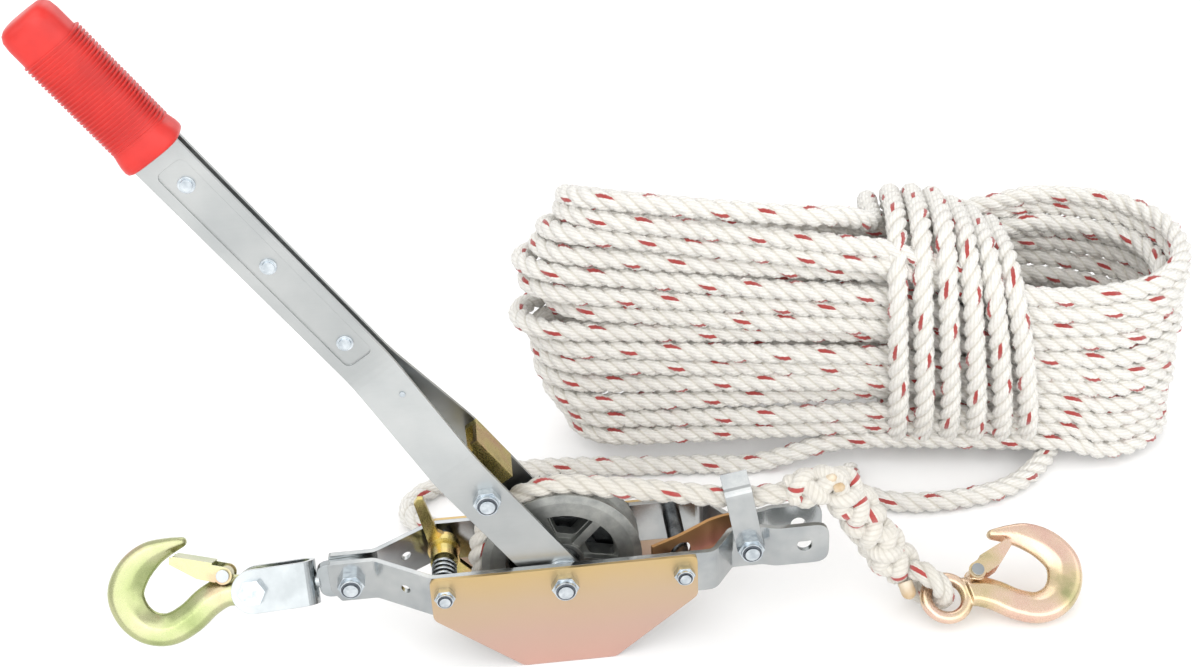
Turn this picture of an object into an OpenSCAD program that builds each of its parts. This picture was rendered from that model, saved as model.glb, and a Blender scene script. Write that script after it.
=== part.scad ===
// Come-along rope puller: a hand lever ratchets a grooved wheel that hauls a laid rope between
// a hook on the rope's end and a swivelling hook on the frame. Millimetres, +Z up.
// The tail hole through the two side plates is the origin; +X runs from the axle to that hole,
// -Y is the side that carries the nuts.

/* [Frame] */
// Overall width across the two side plates
frame_w = 51; // [47:0.5:60]
// Thickness of a side plate
plate_t = 3; // [2.5:0.1:3.5]
// Height of a side plate
plate_h = 25.5; // [24:0.5:30]
// Depth of the axle below the side plates' top edge
axle_drop = 10; // [9:0.5:12]
// Gap between the side plates at the neck
neck_gap = 4.8; // [4:0.1:6]
// Gap between the side plates at the waist
waist_gap = 11; // [10:0.5:13]
// Gap between the side plates at the tail
tail_gap = 16; // [14:0.5:20]
// Axle to the end of the neck
neck_end = 127; // [124:0.5:132]
// Axle to the neck bolt
neck_bolt_at = 115.5; // [113:0.5:117]
// Axle to the bend where the neck opens out
neck_bend = 101.5; // [99:0.5:103]
// Axle to the left end of the parallel middle
body_left = 70; // [69:0.5:74]
// Axle to the right end of the parallel middle
body_right = 80.5; // [79:0.5:82]
// Axle to the start of the waist
waist_start = 92.5; // [91:0.5:94]
// Axle to the keeper bolt in the waist
keeper_at = 103.5; // [102:0.5:105]
// Axle to the end of the waist
waist_end = 112; // [111:0.5:113]
// Axle to the start of the tail
tail_start = 118; // [117:0.5:120]
// Axle to the tail hole
tail_reach = 134; // [131:0.5:138]
// Tail hole to the rounded end of the tail
tail_over = 13.5; // [12:0.5:16]
// Tail hole diameter
tail_hole_d = 8.5; // [6.5:0.5:10.5]
// Small hole in each sloping shoulder
shoulder_hole_d = 5; // [4:0.5:6]

/* [Guards] */
// Half width of a guard plate
guard_half = 72; // [71:0.5:76]
// Thickness of a guard plate
guard_t = 2; // [1.5:0.1:3]
// Height of a guard plate
guard_h = 65; // [62:0.5:70]
// Height of a guard's upright sides
guard_side_h = 27; // [25:0.5:30]
// Half width of the flat that a guard stands on
guard_foot_half = 25.5; // [22:0.5:30]

/* [Fasteners] */
// Axle to each cross bolt
cross_bolt_at = 64.5; // [63.5:0.5:66]
// Cross bolt diameter
small_bolt_d = 6; // [5:0.5:6.5]
// Cross nut size across flats
small_nut_af = 10; // [9:0.5:11]
// Cross nut height
small_nut_h = 6; // [5:0.5:7]
// Main bolt diameter
bolt_d = 8; // [7.5:0.5:8.5]
// Main nut size across flats
nut_af = 13; // [12:0.5:14]
// Main nut height
nut_h = 7.4; // [6.5:0.1:8.5]
// Length of a bolt end beyond its nut
bolt_over = 1; // [0.5:0.1:2]
// Clearance between a bolt and its hole, on the radius
hole_fit = 0.1; // [0.05:0.01:0.15]
// Running clearance on the radius
run_fit = 0.05; // [0.03:0.01:0.08]
// Side clearance between moving pieces
side_fit = 0.3; // [0.2:0.05:0.5]

/* [Wheel] */
// Sheave outside diameter
sheave_d = 88; // [84:0.5:88.5]
// Sheave width
sheave_w = 18; // [17:0.5:19]
// Rope diameter
rope_d = 12.7; // [12.6:0.1:12.8]
// Clearance between the rope and its groove, on the radius
groove_fit = 0.5; // [0.4:0.05:0.7]
// Radius that the rope's centre runs at
rope_run_r = 45; // [44.8:0.1:45.2]
// Inner radius of the sheave's rim
rim_in_r = 31; // [30:0.5:33]
// Sheave hub radius
hub_r = 12; // [11:0.5:13]
// Thickness of the sheave's web
web_t = 6; // [4:0.5:8]
// Width of a sheave spoke
spoke_w = 5; // [4:0.5:6]
// Axle sleeve diameter
sleeve_d = 14; // [13:0.5:15]
// Outside diameter of the wheel's bush
bush_d = 17; // [16.5:0.5:18]
// Ratchet wheel thickness
ratchet_t = 4; // [3.5:0.5:4]
// Number of ratchet teeth
teeth = 24; // [24:24:24]
// Ratchet tooth depth
tooth_h = 5.2; // [4.5:0.1:5.5]

/* [Handle] */
// Handle angle above the line towards the neck
lever_angle = 56.2; // [56.2:0.1:56.2]
// Handle length from the axle to the grip's end
lever_len = 394; // [380:1:430]
// Width of the handle's sides
lever_w = 26.6; // [25:0.2:28]
// Distance of the handle's centre line behind the axle
lever_shift = 2.2; // [1.5:0.1:2.5]
// Handle sheet thickness
lever_t = 2; // [1.8:0.1:2.2]
// Gap between the handle's fork and each side plate
fork_gap = 2; // [1:0.1:2.3]
// Outside width of the handle's closed upper part
stem_w = 9; // [8.5:0.5:10]
// Axle to the fork's shoulder
fork_end = 89; // [88:0.5:90]
// Axle to the start of the closed upper part
stem_start = 157; // [155:0.5:159]
// End of the pressed panel to its nearest rivet
rivet_margin = 12; // [8:0.5:16]
// Panel rivet head diameter
rivet_head_d = 8.5; // [7.5:0.5:9]
// Depth of the pressed panel
panel_depth = 1; // [0.8:0.1:1.2]
// Grip length
grip_len = 84; // [80:1:90]
// Grip width
grip_w = 28.5; // [28.2:0.1:30]
// Grip thickness
grip_t = 21; // [18:0.5:24]
// Width of the grip's collar
collar_w = 33; // [31:0.5:35]

/* [Pawls] */
// Axle to the drive pawl's pivot
pawl_at = 67; // [66.5:0.5:67.5]
// Pawl pivot sleeve diameter
pawl_sleeve_d = 10; // [9.5:0.5:10.5]
// Radius of a pawl's eye
pawl_eye_r = 8.5; // [8:0.5:8.5]
// Thickness of the pawls' noses
pawl_t = 3.6; // [3.2:0.1:3.6]
// Thickness of the drive pawl's near cheek
cheek_t = 2.5; // [2:0.5:3]
// Diameter of the drive pawl spring
spring_d = 6.5; // [6:0.5:7]
// Diameter of the holding pawl's coil spring
coil_d = 14; // [13.5:0.5:14.5]

/* [Anchor hook] */
// Clevis strap width
strap_w = 24; // [22:0.5:26]
// Clevis strap thickness
strap_t = 3; // [2.5:0.5:3]
// Gap inside the clevis
strap_gap = 13; // [12.6:0.1:14]
// Neck bolt to the outside of the clevis bend
clevis_start = 18.5; // [18:0.5:20]
// Neck bolt to the clevis bolt
clevis_bolt_at = 52.5; // [51:0.5:54]
// Droop of the eye below the frame's line
droop = 3.5; // [3.5:0.5:3.5]
// Roll of the clevis about its swivel
roll = 30; // [30:1:30]
// Thickness of a hook
hook_t = 12; // [11:0.5:12]
// Radius of the hook's plain eye
hook_eye_r = 11; // [10.5:0.5:11.5]
// Latch sheet thickness
latch_t = 1.2; // [1:0.1:1.4]
// Latch rivet diameter
latch_rivet_d = 4; // [3.5:0.5:4.5]

/* [Rope hook] */
// Outside radius of the ring on the rope hook
ring_r = 15; // [14.9:0.1:15.1]
// Radius of the ring's hole
ring_hole_r = 8; // [7.9:0.1:8.1]
// Lean of the rope hook back from upright
rope_hook_lean = 60; // [60:1:60]
// Turn of the rope hook in its own plane
rope_hook_turn = 8.7; // [8.7:0.1:8.7]

/* [Rope keeper] */
// Keeper strap width
keeper_w = 15; // [13:0.5:16]
// Keeper strap thickness
keeper_t = 2; // [1.5:0.5:2]
// Height of the keeper's lip above the axle
keeper_top = 36.5; // [36.5:0.1:37.5]
// Length of the keeper's lip
keeper_lip = 15; // [13:0.5:16]

/* [Hank] */
// Length of the hank
hank_len = 431; // [410:1:440]
// Depth of the hank
hank_depth = 118; // [112:1:124]
// Depth of the hank at its left end
hank_left_depth = 88; // [80:1:96]
// Height of the hank at its right end
hank_right_h = 142; // [138:1:150]
// Height of the hank at its left end
hank_left_h = 194; // [186:1:200]
// Width of the wrapping turns
wrap_w = 68; // [64:1:72]
// Height of the wrapping turns
wrap_h = 176; // [172:1:182]

/* [Hidden] */
$fn = 64;

plate_top = axle_drop;
plate_mid = plate_top - plate_h / 2;
plate_in = frame_w / 2 - plate_t;
guard_out = frame_w / 2 + guard_t;
floor_z = plate_top - guard_h;
neck_out = neck_gap / 2 + plate_t;
fork_w = 2 * (plate_in - fork_gap);
waist_out = waist_gap / 2 + plate_t;
tail_end = tail_reach + tail_over;
sheave_r = sheave_d / 2;
sheave_half = sheave_w / 2;
groove_r = rope_d / 2 + groove_fit;
ratchet_in = sheave_half;
ratchet_out = ratchet_in + ratchet_t;
pawl_y = ratchet_in + (ratchet_t - pawl_t) / 2;
root_r = sheave_r - tooth_h;
tooth_step = 360 / teeth;
drive_face = 145;
hold_face = drive_face + 4 * tooth_step;
lever_low = -lever_w / 2 - lever_shift;
lever_high = lever_w / 2 - lever_shift;
lever_end_r = 16;
head_k = 0.68;
spoke_from = 47.7;
spokes = 6;
rope_r = rope_d / 2;
floor_rope = floor_z + rope_r;
// The rope's wrap on the wheel starts and ends at these angles about the axle.
wrap_from = 80;
wrap_to = 262;
// Hand-chosen points of the rope's free runs, from the axle.
line_route = [[40, 0, 38.2], [70, 0, 31.6], [88, 0, 27.5], [104, 0, 25.6], [126, 0, 26.4]];
tail_route = [[20, 0, -48], [42, 6, -48.6], [58, 24, -48.6], [62, 52, -48.6], [46, 78, -48.6],
    [14, 90, -48.6], [-22, 92, -48.6], [-58, 93, -48.6], [-84, 102, -48.6], [-90, 118, -48.6],
    [-80, 134, -48.6], [-52, 145, -48.6], [-14, 149, -48.6], [26, 146, -48.6], [62, 141, -48.6],
    [98, 137, -48.6], [130, 133, -48.6]];
end_route = [[296, 92, -48.6], [276, 81, -48.6], [250, 76, -48.6], [224, 76, -48.6],
    [203, 82, -48.6], [189, 93, -48.6], [186, 107, -48.6], [194, 120, -48.6], [203, 131, -48.6]];
splice_route = [[126, 0, 26.4], [138, 0, 28.6], [150, 0, 28], [160, 0, 19], [168, -1, 6],
    [176, -3, -9], [185, -5, -22], [193, -8, -31]];
splice_r = [6.6, 8.5, 10.2, 10.8, 11, 11, 11, 10];
// Centre of the ring on the rope hook, from the axle.
ring_at = [212.5, -23, -40.5];
ring_wire_r = (ring_r - ring_hole_r) / 2;
ring_mid_r = ring_hole_r + ring_wire_r;
eye_r = 13;
// The hank's middle, from the axle, and its turn about Z.
hank_at = [196, 184];
hank_turn = -9;
wrap_at = 56;
hank_crest = 60;
// A hook's middle line from the tip to the shank, with its half width at each point.
hook_line = [[-38.5, 29, 3], [-46.5, 27, 5.2], [-56.5, 23, 8], [-65.5, 15, 9.6], [-70.6, 3.5, 10],
    [-67.5, -8, 9.7], [-59.5, -15.8, 9.3], [-48.5, -17.8, 9], [-37, -12.8, 8.9],
    [-26.5, -4.4, 8.8], [-16, 0.5, 8.6], [-6, 0, 8.6]];
anchor_latch_at = [-16, 9.8];
rope_latch_at = [-20.5, 9];
latch_tip = [-44.8, 20.6];

// ---- Helpers ----
function unit(v) = v / norm(v);
function left_of(v) = [-v.y, v.x];
function polar(r, a) = [r * cos(a), r * sin(a)];
function bezier(a, v, b, n) = [for (k = [0:n]) let (t = k / n)
    (1 - t) * (1 - t) * a + 2 * t * (1 - t) * v + t * t * b];
// A closed outline with each corner eased over the distance that its entry in cuts gives.
function eased(p, cuts, n = 5) = [for (i = [0:len(p) - 1]) let (v = p[i],
    a = p[(i + len(p) - 1) % len(p)], b = p[(i + 1) % len(p)], c = cuts[i])
    each (c == 0 ? [v] : bezier(v + c * unit(a - v), v, v + c * unit(b - v), n))];
// An open path with each inner corner eased over the distance c.
function bent(p, c, n = 4) = concat([p[0]], [for (i = [1:len(p) - 2])
    each bezier(p[i] + c * unit(p[i - 1] - p[i]), p[i], p[i] + c * unit(p[i + 1] - p[i]), n)],
    [p[len(p) - 1]]);
function side_at(p, i) = let (
    a = i > 0 ? left_of(unit(p[i] - p[i - 1])) : left_of(unit(p[1] - p[0])),
    b = i < len(p) - 1 ? left_of(unit(p[i + 1] - p[i])) : a) (a + b) / (1 + a * b);
// The outline of a strip that lies between an open path and that path moved left by d.
function strip(p, d) = concat(p, [for (i = [len(p) - 1:-1:0]) p[i] + d * side_at(p, i)]);
function spline(p, i, t) = let (a = p[max(i - 1, 0)], b = p[i], c = p[i + 1],
    d = p[min(i + 2, len(p) - 1)])
    0.5 * (2 * b + (c - a) * t + (2 * a - 5 * b + 4 * c - d) * t * t
    + (3 * b - a - 3 * c + d) * t * t * t);
function smooth(p, n) = concat([for (i = [0:len(p) - 2]) for (k = [0:n - 1]) spline(p, i, k / n)],
    [p[len(p) - 1]]);
function xy(p) = [p.x, p.y];
// Both edges of a band whose points carry their own half width as third value, round at the start.
function band(p) = let (m = [for (v = p) xy(v)], n = side_at(m, 0), t = unit(m[1] - m[0])) concat(
    [for (i = [0:len(p) - 1]) m[i] + p[i].z * side_at(m, i)],
    [for (i = [len(p) - 1:-1:0]) m[i] - p[i].z * side_at(m, i)],
    [for (a = [30:30:150]) m[0] - p[0].z * (cos(a) * n + sin(a) * t)]);
function wheel_point(a) = [rope_run_r * cos(a), 0, rope_run_r * sin(a)];
// The handle's own plane: a runs up the handle from the axle, o towards its open edge.
function on_lever(a, o) = [-a * cos(lever_angle) + o * sin(lever_angle),
    a * sin(lever_angle) + o * cos(lever_angle)];

module winch() translate([-tail_reach, 0, -plate_mid]) children();
// Extrudes an outline in X and Z along +Y from y0 to y1.
module plate(y0, y1) translate([0, y1, 0]) rotate([90, 0, 0]) linear_extrude(y1 - y0) children();
module rod(x, z, d, y0, y1, sides = 48)
    translate([x, y1, z]) rotate([90, 0, 0]) cylinder(d = d, h = y1 - y0, $fn = sides);
module tube(x, z, d, bore, y0, y1) difference() {
    rod(x, z, d, y0, y1);
    rod(x, z, bore, y0 - 1, y1 + 1);
}
module hex(x, z, af, y0, y1) rod(x, z, af / cos(30), y0, y1, 6);
// Locking nut whose plain collar faces -Y, from its seat at y1.
module lock_nut(x, z, af, d, h, y1) difference() {
    union() {
        hex(x, z, af, y1 - h * head_k, y1);
        rod(x, z, af * 0.9, y1 - h, y1 - h * head_k);
    }
    rod(x, z, d + 2 * hole_fit, y1 - h - 1, y1 + 1);
}
// Hexagon bolt with its head at the far side.
module bolt(x, z, af, d, y0, y1) {
    rod(x, z, d, y0, y1);
    hex(x, z, af, y1, y1 + d * head_k);
}
// One closed tube swept through a route, with its own radius at each point.
module cord(p, r, sides = 10) {
    n = len(p);
    function along(i) = unit(p[min(i + 1, n - 1)] - p[max(i - 1, 0)]);
    pts = [for (i = [0:n - 1]) let (t = along(i), s = unit(cross(t, [0, 0, 1])), u = cross(s, t))
        for (k = [0:sides - 1]) p[i] + r[i] * (cos(360 * k / sides) * s + sin(360 * k / sides) * u)];
    faces = concat([[for (k = [0:sides - 1]) k]],
        [for (i = [0:n - 2]) for (k = [0:sides - 1]) let (j = (k + 1) % sides)
            each [[i * sides + k, (i + 1) * sides + k, (i + 1) * sides + j],
                [i * sides + k, (i + 1) * sides + j, i * sides + j]]],
        [[for (k = [sides - 1:-1:0]) (n - 1) * sides + k]]);
    polyhedron(pts, faces, convexity = 6);
}
module even_cord(p) cord(p, [for (v = p) rope_r]);

// ---- Frame ----
module side_plate() {
    inner = bent([[-neck_end, neck_gap / 2], [-neck_bend, neck_gap / 2], [-body_left, plate_in],
        [body_right, plate_in], [waist_start, waist_gap / 2], [waist_end, waist_gap / 2],
        [tail_start, tail_gap / 2], [tail_end, tail_gap / 2]], 2.6);
    low = plate_top - plate_h;
    difference() {
        intersection() {
            translate([0, 0, low - 1]) linear_extrude(plate_h + 2) polygon(strip(inner, plate_t));
            plate(0, frame_w) polygon(eased([[-neck_end, plate_top], [tail_end, plate_top],
                [tail_end, low], [-neck_end + 5, low], [-neck_end, low + 8]], [1.5, 8, 8, 1, 1]));
        }
        for (x = [-cross_bolt_at, cross_bolt_at])
            rod(x, 0, small_bolt_d + 2 * hole_fit, 0, frame_w);
        rod(0, 0, bolt_d + 2 * hole_fit, 0, frame_w);
        rod(-neck_bolt_at, plate_mid, bolt_d + 2 * hole_fit, 0, frame_w);
        rod(keeper_at, 0, bolt_d + 2 * hole_fit, 0, frame_w);
        rod(tail_reach, plate_mid, tail_hole_d, 0, frame_w);
        rod(-(neck_bend + body_left) / 2, plate_mid, shoulder_hole_d, 0, frame_w);
    }
}
module side_plate_near() color("silver") winch() mirror([0, 1, 0]) side_plate();
module side_plate_far() color("silver") winch() side_plate();

module guard() difference() {
    plate(frame_w / 2, guard_out) polygon(eased([[-guard_half, plate_top], [guard_half, plate_top],
        [guard_half, plate_top - guard_side_h], [guard_foot_half, floor_z],
        [-guard_foot_half, floor_z], [-guard_half, plate_top - guard_side_h]], [4, 4, 3, 2, 2, 3]));
    for (x = [-cross_bolt_at, cross_bolt_at])
        rod(x, 0, small_bolt_d + 2 * hole_fit, 0, frame_w);
    rod(0, 0, bolt_d + 2 * hole_fit, 0, frame_w);
}
module guard_near() color("sandybrown") winch() mirror([0, 1, 0]) guard();
module guard_far() color("sandybrown") winch() guard();

module axle_bolt() color("gainsboro") winch()
    bolt(0, 0, nut_af, bolt_d, -guard_out - nut_h - bolt_over, guard_out);
module axle_nut() color("gainsboro") winch() lock_nut(0, 0, nut_af, bolt_d, nut_h, -guard_out);
module axle_sleeve() color("dimgray") winch()
    tube(0, 0, sleeve_d, bolt_d + 2 * hole_fit, -plate_in, plate_in);
module axle_washers() color("gainsboro") winch() for (m = [0, 1]) mirror([0, m, 0])
    tube(0, 0, sleeve_d + 8, sleeve_d + 2 * hole_fit, fork_w / 2 + side_fit / 2, plate_in);
module wheel_spacers() color("dimgray") winch() {
    in = fork_w / 2 - lever_t - side_fit;
    tube(0, 0, sleeve_d + 6, sleeve_d + 2 * hole_fit, -in, -sheave_half - side_fit);
    tube(0, 0, sleeve_d + 6, sleeve_d + 2 * hole_fit, ratchet_out + side_fit, in);
}
module cross_bolts() color("gainsboro") winch() for (x = [-cross_bolt_at, cross_bolt_at])
    bolt(x, 0, small_nut_af, small_bolt_d, -guard_out - small_nut_h - bolt_over, guard_out);
module cross_nuts() color("gainsboro") winch() for (x = [-cross_bolt_at, cross_bolt_at])
    lock_nut(x, 0, small_nut_af, small_bolt_d, small_nut_h, -guard_out);
module cross_spacer() color("dimgray") winch()
    tube(cross_bolt_at, 0, pawl_sleeve_d, small_bolt_d + 2 * hole_fit, -plate_in, plate_in);
module pawl_pin_sleeve() color("dimgray") winch()
    tube(-cross_bolt_at, 0, pawl_sleeve_d, small_bolt_d + 2 * hole_fit, -plate_in, plate_in);
module neck_bolt() color("gainsboro") winch()
    bolt(-neck_bolt_at, plate_mid, nut_af, bolt_d, -neck_out - nut_h - bolt_over, neck_out);
module neck_nut() color("gainsboro") winch()
    lock_nut(-neck_bolt_at, plate_mid, nut_af, bolt_d, nut_h, -neck_out);

// Plate that runs slantwise from the waist to the wheel and keeps the rope's runs apart.
guide_top = plate_top + 1.5;
guide_low = plate_mid - plate_h / 2 - 5;
module rope_guide() color("darkgoldenrod") winch() {
    wall = waist_gap / 2 - 2;
    path = bent([[sheave_r + 5, -plate_in + 4], [cross_bolt_at, -plate_in / 2],
        [waist_start - 9, wall - 3], [waist_start, wall], [keeper_at - bolt_d / 2 - 2, wall]], 3);
    difference() {
        intersection() {
            translate([0, 0, guide_low]) linear_extrude(guide_top - guide_low)
                polygon(strip(path, 2));
            plate(-plate_in, plate_in) polygon(eased([[0, guide_top], [tail_end, guide_top],
                [tail_end, guide_low], [waist_start - 7, guide_low], [cross_bolt_at, plate_mid - 8],
                [0, plate_mid - 8]], [0, 0, 0, 3, 6, 0]));
        }
        rod(cross_bolt_at, 0, pawl_sleeve_d + 3, -plate_in, plate_in);
    }
}
// Strap that is bolted to the waist and bends over the rope.
keeper_lean = 10;
keeper_foot = 9;
keeper_knee = 12;
keeper_ease = 7;
module on_keeper() winch() translate([keeper_at, 0, 0]) rotate([0, -keeper_lean, 0]) children();
module rope_keeper() color("gainsboro") on_keeper() difference() {
    outer = waist_out + keeper_t;
    side = keeper_w / 2;
    rotate([90, 0, 90]) translate([0, 0, -side]) linear_extrude(keeper_w)
        polygon(strip(bent([[-outer, -keeper_foot], [-outer, keeper_knee],
            [-outer + 1.5, keeper_top], [-outer + 1.5 + keeper_lip, keeper_top + 2.5]], 4),
            -keeper_t));
    for (m = [0, 1]) mirror([m, 0, 0]) plate(-frame_w, frame_w) polygon(concat(
        [[side + 1, -keeper_foot - 1], [side + 1, keeper_ease - keeper_foot]],
        bezier([side, keeper_ease - keeper_foot], [side, -keeper_foot],
            [side - keeper_ease, -keeper_foot], 6),
        [[side - keeper_ease, -keeper_foot - 1]]));
    rod(0, 0, bolt_d + 2 * hole_fit, -frame_w, 0);
}
module keeper_bolt() color("gainsboro") winch() bolt(keeper_at, 0, nut_af, bolt_d,
    -waist_out - keeper_t - nut_h - bolt_over, waist_out);
module keeper_nut() color("gainsboro") winch()
    lock_nut(keeper_at, 0, nut_af, bolt_d, nut_h, -waist_out - keeper_t);
module keeper_spacer() color("dimgray") winch()
    tube(keeper_at, 0, bolt_d + 3, bolt_d + 2 * hole_fit, -waist_gap / 2, waist_gap / 2);

// ---- Wheel ----
module turned() rotate([90, 0, 0]) rotate_extrude($fn = 96) children();
module sheave() color("dimgray") winch() difference() {
    union() {
        turned() {
            polygon(concat([[rim_in_r, -sheave_half], [sheave_r, -sheave_half],
                [sheave_r, -sqrt(groove_r ^ 2 - (rope_run_r - sheave_r) ^ 2)]],
                [for (a = [-75:15:75]) [rope_run_r - groove_r * cos(a), groove_r * sin(a)]],
                [[sheave_r, sqrt(groove_r ^ 2 - (rope_run_r - sheave_r) ^ 2)],
                [sheave_r, sheave_half - 0.8], [sheave_r - 4.5, sheave_half],
                [rim_in_r, sheave_half]]));
            translate([hub_r - 1, -web_t / 2]) square([rim_in_r - hub_r + 2, web_t]);
            translate([bush_d / 2, -sheave_half]) square([hub_r - bush_d / 2, sheave_w]);
        }
        for (k = [0:spokes - 1]) rotate([0, -spoke_from - 360 / spokes * k, 0])
            translate([hub_r - 1, -sheave_half + 2, -spoke_w / 2])
                cube([rim_in_r - hub_r + 2, sheave_w - 4, spoke_w]);
    }
    for (k = [0:spokes - 1]) rotate([0, -spoke_from - 360 / spokes * (k + 0.5), 0])
        plate(-sheave_half, sheave_half) window();
}
// Rounded opening between two spokes.
module window() {
    half = 180 / spokes;
    edge = spoke_w / 2 + 0.5;
    in = hub_r + 3.5;
    out = rim_in_r - 1.5;
    rim = [for (k = [-2:2]) polar(out, k / 2 * (half - asin(edge / out)))];
    polygon(eased(concat([polar(in, -(half - asin(edge / in))), polar(in, half - asin(edge / in))],
        [for (k = [4:-1:0]) rim[k]]), [2, 2, 3, 0, 0, 0, 3]));
}
module sheave_bush() color("peru") winch()
    tube(0, 0, bush_d, sleeve_d + 2 * run_fit, -sheave_half, ratchet_out);
boss_r = 19;
boss_wave = 1.4;
module ratchet_wheel() color("slategray") winch() difference() {
    union() {
        plate(ratchet_in, ratchet_out) polygon([for (k = [0:teeth - 1])
            let (a = drive_face + k * tooth_step) each [polar(root_r, a), polar(sheave_r, a + 0.6)]]);
        plate(ratchet_in - 1.7, ratchet_in + 0.5) polygon([for (a = [0:5:355])
            polar(boss_r + boss_wave * cos(spokes * (a - spoke_from)), a)]);
    }
    rod(0, 0, bush_d, -sheave_w, sheave_w);
    rod(0, 0, 2 * hub_r, 0, ratchet_in);
    for (k = [0:spokes - 1]) {
        a = spoke_from + 360 / spokes * k;
        rod(rivet_ring_r * cos(a), rivet_ring_r * sin(a), rivet_d, 0, sheave_w);
    }
}
rivet_ring_r = 35;
rivet_d = 4;
module sheave_rivets() color("gainsboro") winch() for (k = [0:spokes - 1]) {
    a = spoke_from + 360 / spokes * k;
    x = rivet_ring_r * cos(a);
    z = rivet_ring_r * sin(a);
    rod(x, z, rivet_d, sheave_half, ratchet_out);
    rod(x, z, rivet_d + 3, ratchet_out, ratchet_out + 1);
}

// ---- Handle ----
module on_handle() winch() rotate([0, lever_angle, 0]) mirror([1, 0, 0]) children();
function lever_half(a, inset) = a < fork_end ? fork_w / 2 - inset
    : a > stem_start ? stem_w / 2 - inset
    : (fork_w + (stem_w - fork_w) * (a - fork_end) / (stem_start - fork_end)) / 2 - inset;
stem_end = lever_len - 6;
panel_from = stem_start + 9;
panel_to = lever_len - grip_len - 8;
panel_mid_o = -lever_shift + 0.6;
panel_half = lever_w / 2 - 5;
rivet_at = panel_from + rivet_margin;
rivet_pitch = (panel_to - rivet_margin - rivet_at) / 2;
module panel(y0, y1, grow) plate(y0, y1) polygon(eased(
    [[panel_from - grow, panel_mid_o - panel_half - grow], [panel_to + grow, panel_mid_o - panel_half - grow],
    [panel_to + grow, panel_mid_o + panel_half + grow], [panel_from - grow, panel_mid_o + panel_half + grow]],
    [4, 4, 4, 4]));
module lever_side() {
    path = bent([[-lever_end_r, fork_w / 2 - lever_t], [fork_end, fork_w / 2 - lever_t],
        [stem_start, stem_w / 2 - lever_t], [stem_end, stem_w / 2 - lever_t]], 8);
    translate([0, 0, lever_low]) linear_extrude(lever_w) polygon(strip(path, lever_t));
}
module handle_lever() color("lightgray") on_handle() difference() {
    union() {
        difference() {
            union() {
                for (m = [0, 1]) mirror([0, m, 0]) lever_side();
                translate([0, 0, lever_low]) linear_extrude(lever_t) polygon([
                    [fork_end, -fork_w / 2 + 1], [stem_start, -stem_w / 2 + 0.2],
                    [stem_end, -stem_w / 2 + 0.2], [stem_end, stem_w / 2 - 0.2],
                    [stem_start, stem_w / 2 - 0.2], [fork_end, fork_w / 2 - 1]]);
            }
            for (m = [0, 1]) mirror([0, m, 0]) panel(stem_w / 2 - panel_depth, stem_w, 0);
        }
        for (m = [0, 1]) mirror([0, m, 0])
            panel(stem_w / 2 - lever_t - panel_depth, stem_w / 2 - lever_t + 0.01, 0);
    }
    for (z = [lever_low, lever_high]) difference() {
        translate([-lever_end_r - 1, -frame_w, z == lever_low ? z - 1 : 0])
            cube([lever_end_r + 1, 2 * frame_w, z == lever_low ? 1 - lever_low : lever_high + 1]);
        rod(0, -lever_shift, lever_w, -2 * frame_w, 2 * frame_w);
    }
    rod(0, 0, sleeve_d + 2 * run_fit, -frame_w, frame_w);
    rod(pawl_at, 0, bolt_d + 2 * hole_fit, -frame_w, frame_w);
    for (k = [0:2]) rod(rivet_at + k * rivet_pitch, panel_mid_o, rivet_d + 0.5, -frame_w, frame_w);
    rod(spring_pin_a, spring_pin_o, spring_pin_d, -frame_w, frame_w);
}
module handle_rivets() color("gainsboro") on_handle() for (k = [0:2]) {
    a = rivet_at + k * rivet_pitch;
    face = stem_w / 2 - panel_depth;
    rod(a, panel_mid_o, rivet_d + 0.5, -face, face);
    for (s = [0, 1]) mirror([0, s, 0]) {
        rod(a, panel_mid_o, rivet_head_d, face, face + 0.9);
        rod(a, panel_mid_o, rivet_head_d - 2.4, face + 0.9, face + 1.9);
    }
}
// Closed vinyl grip with a flared collar, hollow where the handle's end sits.
grip_start = lever_len - grip_len;
module oval(w, t, a0, a1) translate([a0, 0, -lever_shift]) rotate([0, 90, 0]) linear_extrude(a1 - a0)
    union() {
        for (s = [-1, 1]) translate([s * (w - t) / 2, 0]) circle(d = t, $fn = 48);
        square([w - t, t], center = true);
    }
module handle_grip() color("red") on_handle() difference() {
    union() {
        oval(grip_w, grip_t, grip_start + 9, lever_len - 4);
        oval(grip_w - 4, grip_t - 4, lever_len - 4, lever_len);
        oval(collar_w, grip_t + 4, grip_start, grip_start + 9);
    }
    translate([grip_start - 1, -stem_w / 2, lever_low]) cube([stem_end - grip_start + 1, stem_w, lever_w]);
}
module pawl_bolt() color("gainsboro") on_handle()
    bolt(pawl_at, 0, nut_af, bolt_d, -fork_w / 2 - nut_h - bolt_over, fork_w / 2);
module pawl_nut() color("gainsboro") on_handle()
    lock_nut(pawl_at, 0, nut_af, bolt_d, nut_h, -fork_w / 2);
module pawl_sleeve() color("dimgray") on_handle() tube(pawl_at, 0, pawl_sleeve_d,
    bolt_d + 2 * hole_fit, -fork_w / 2 + lever_t, fork_w / 2 - lever_t);
spring_pin_a = 139;
spring_pin_o = 3;
spring_pin_d = 3;
pin_half = lever_half(spring_pin_a, 0) + 0.8;
module spring_pin() color("gainsboro") on_handle()
    rod(spring_pin_a, spring_pin_o, spring_pin_d, -pin_half, pin_half);

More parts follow.
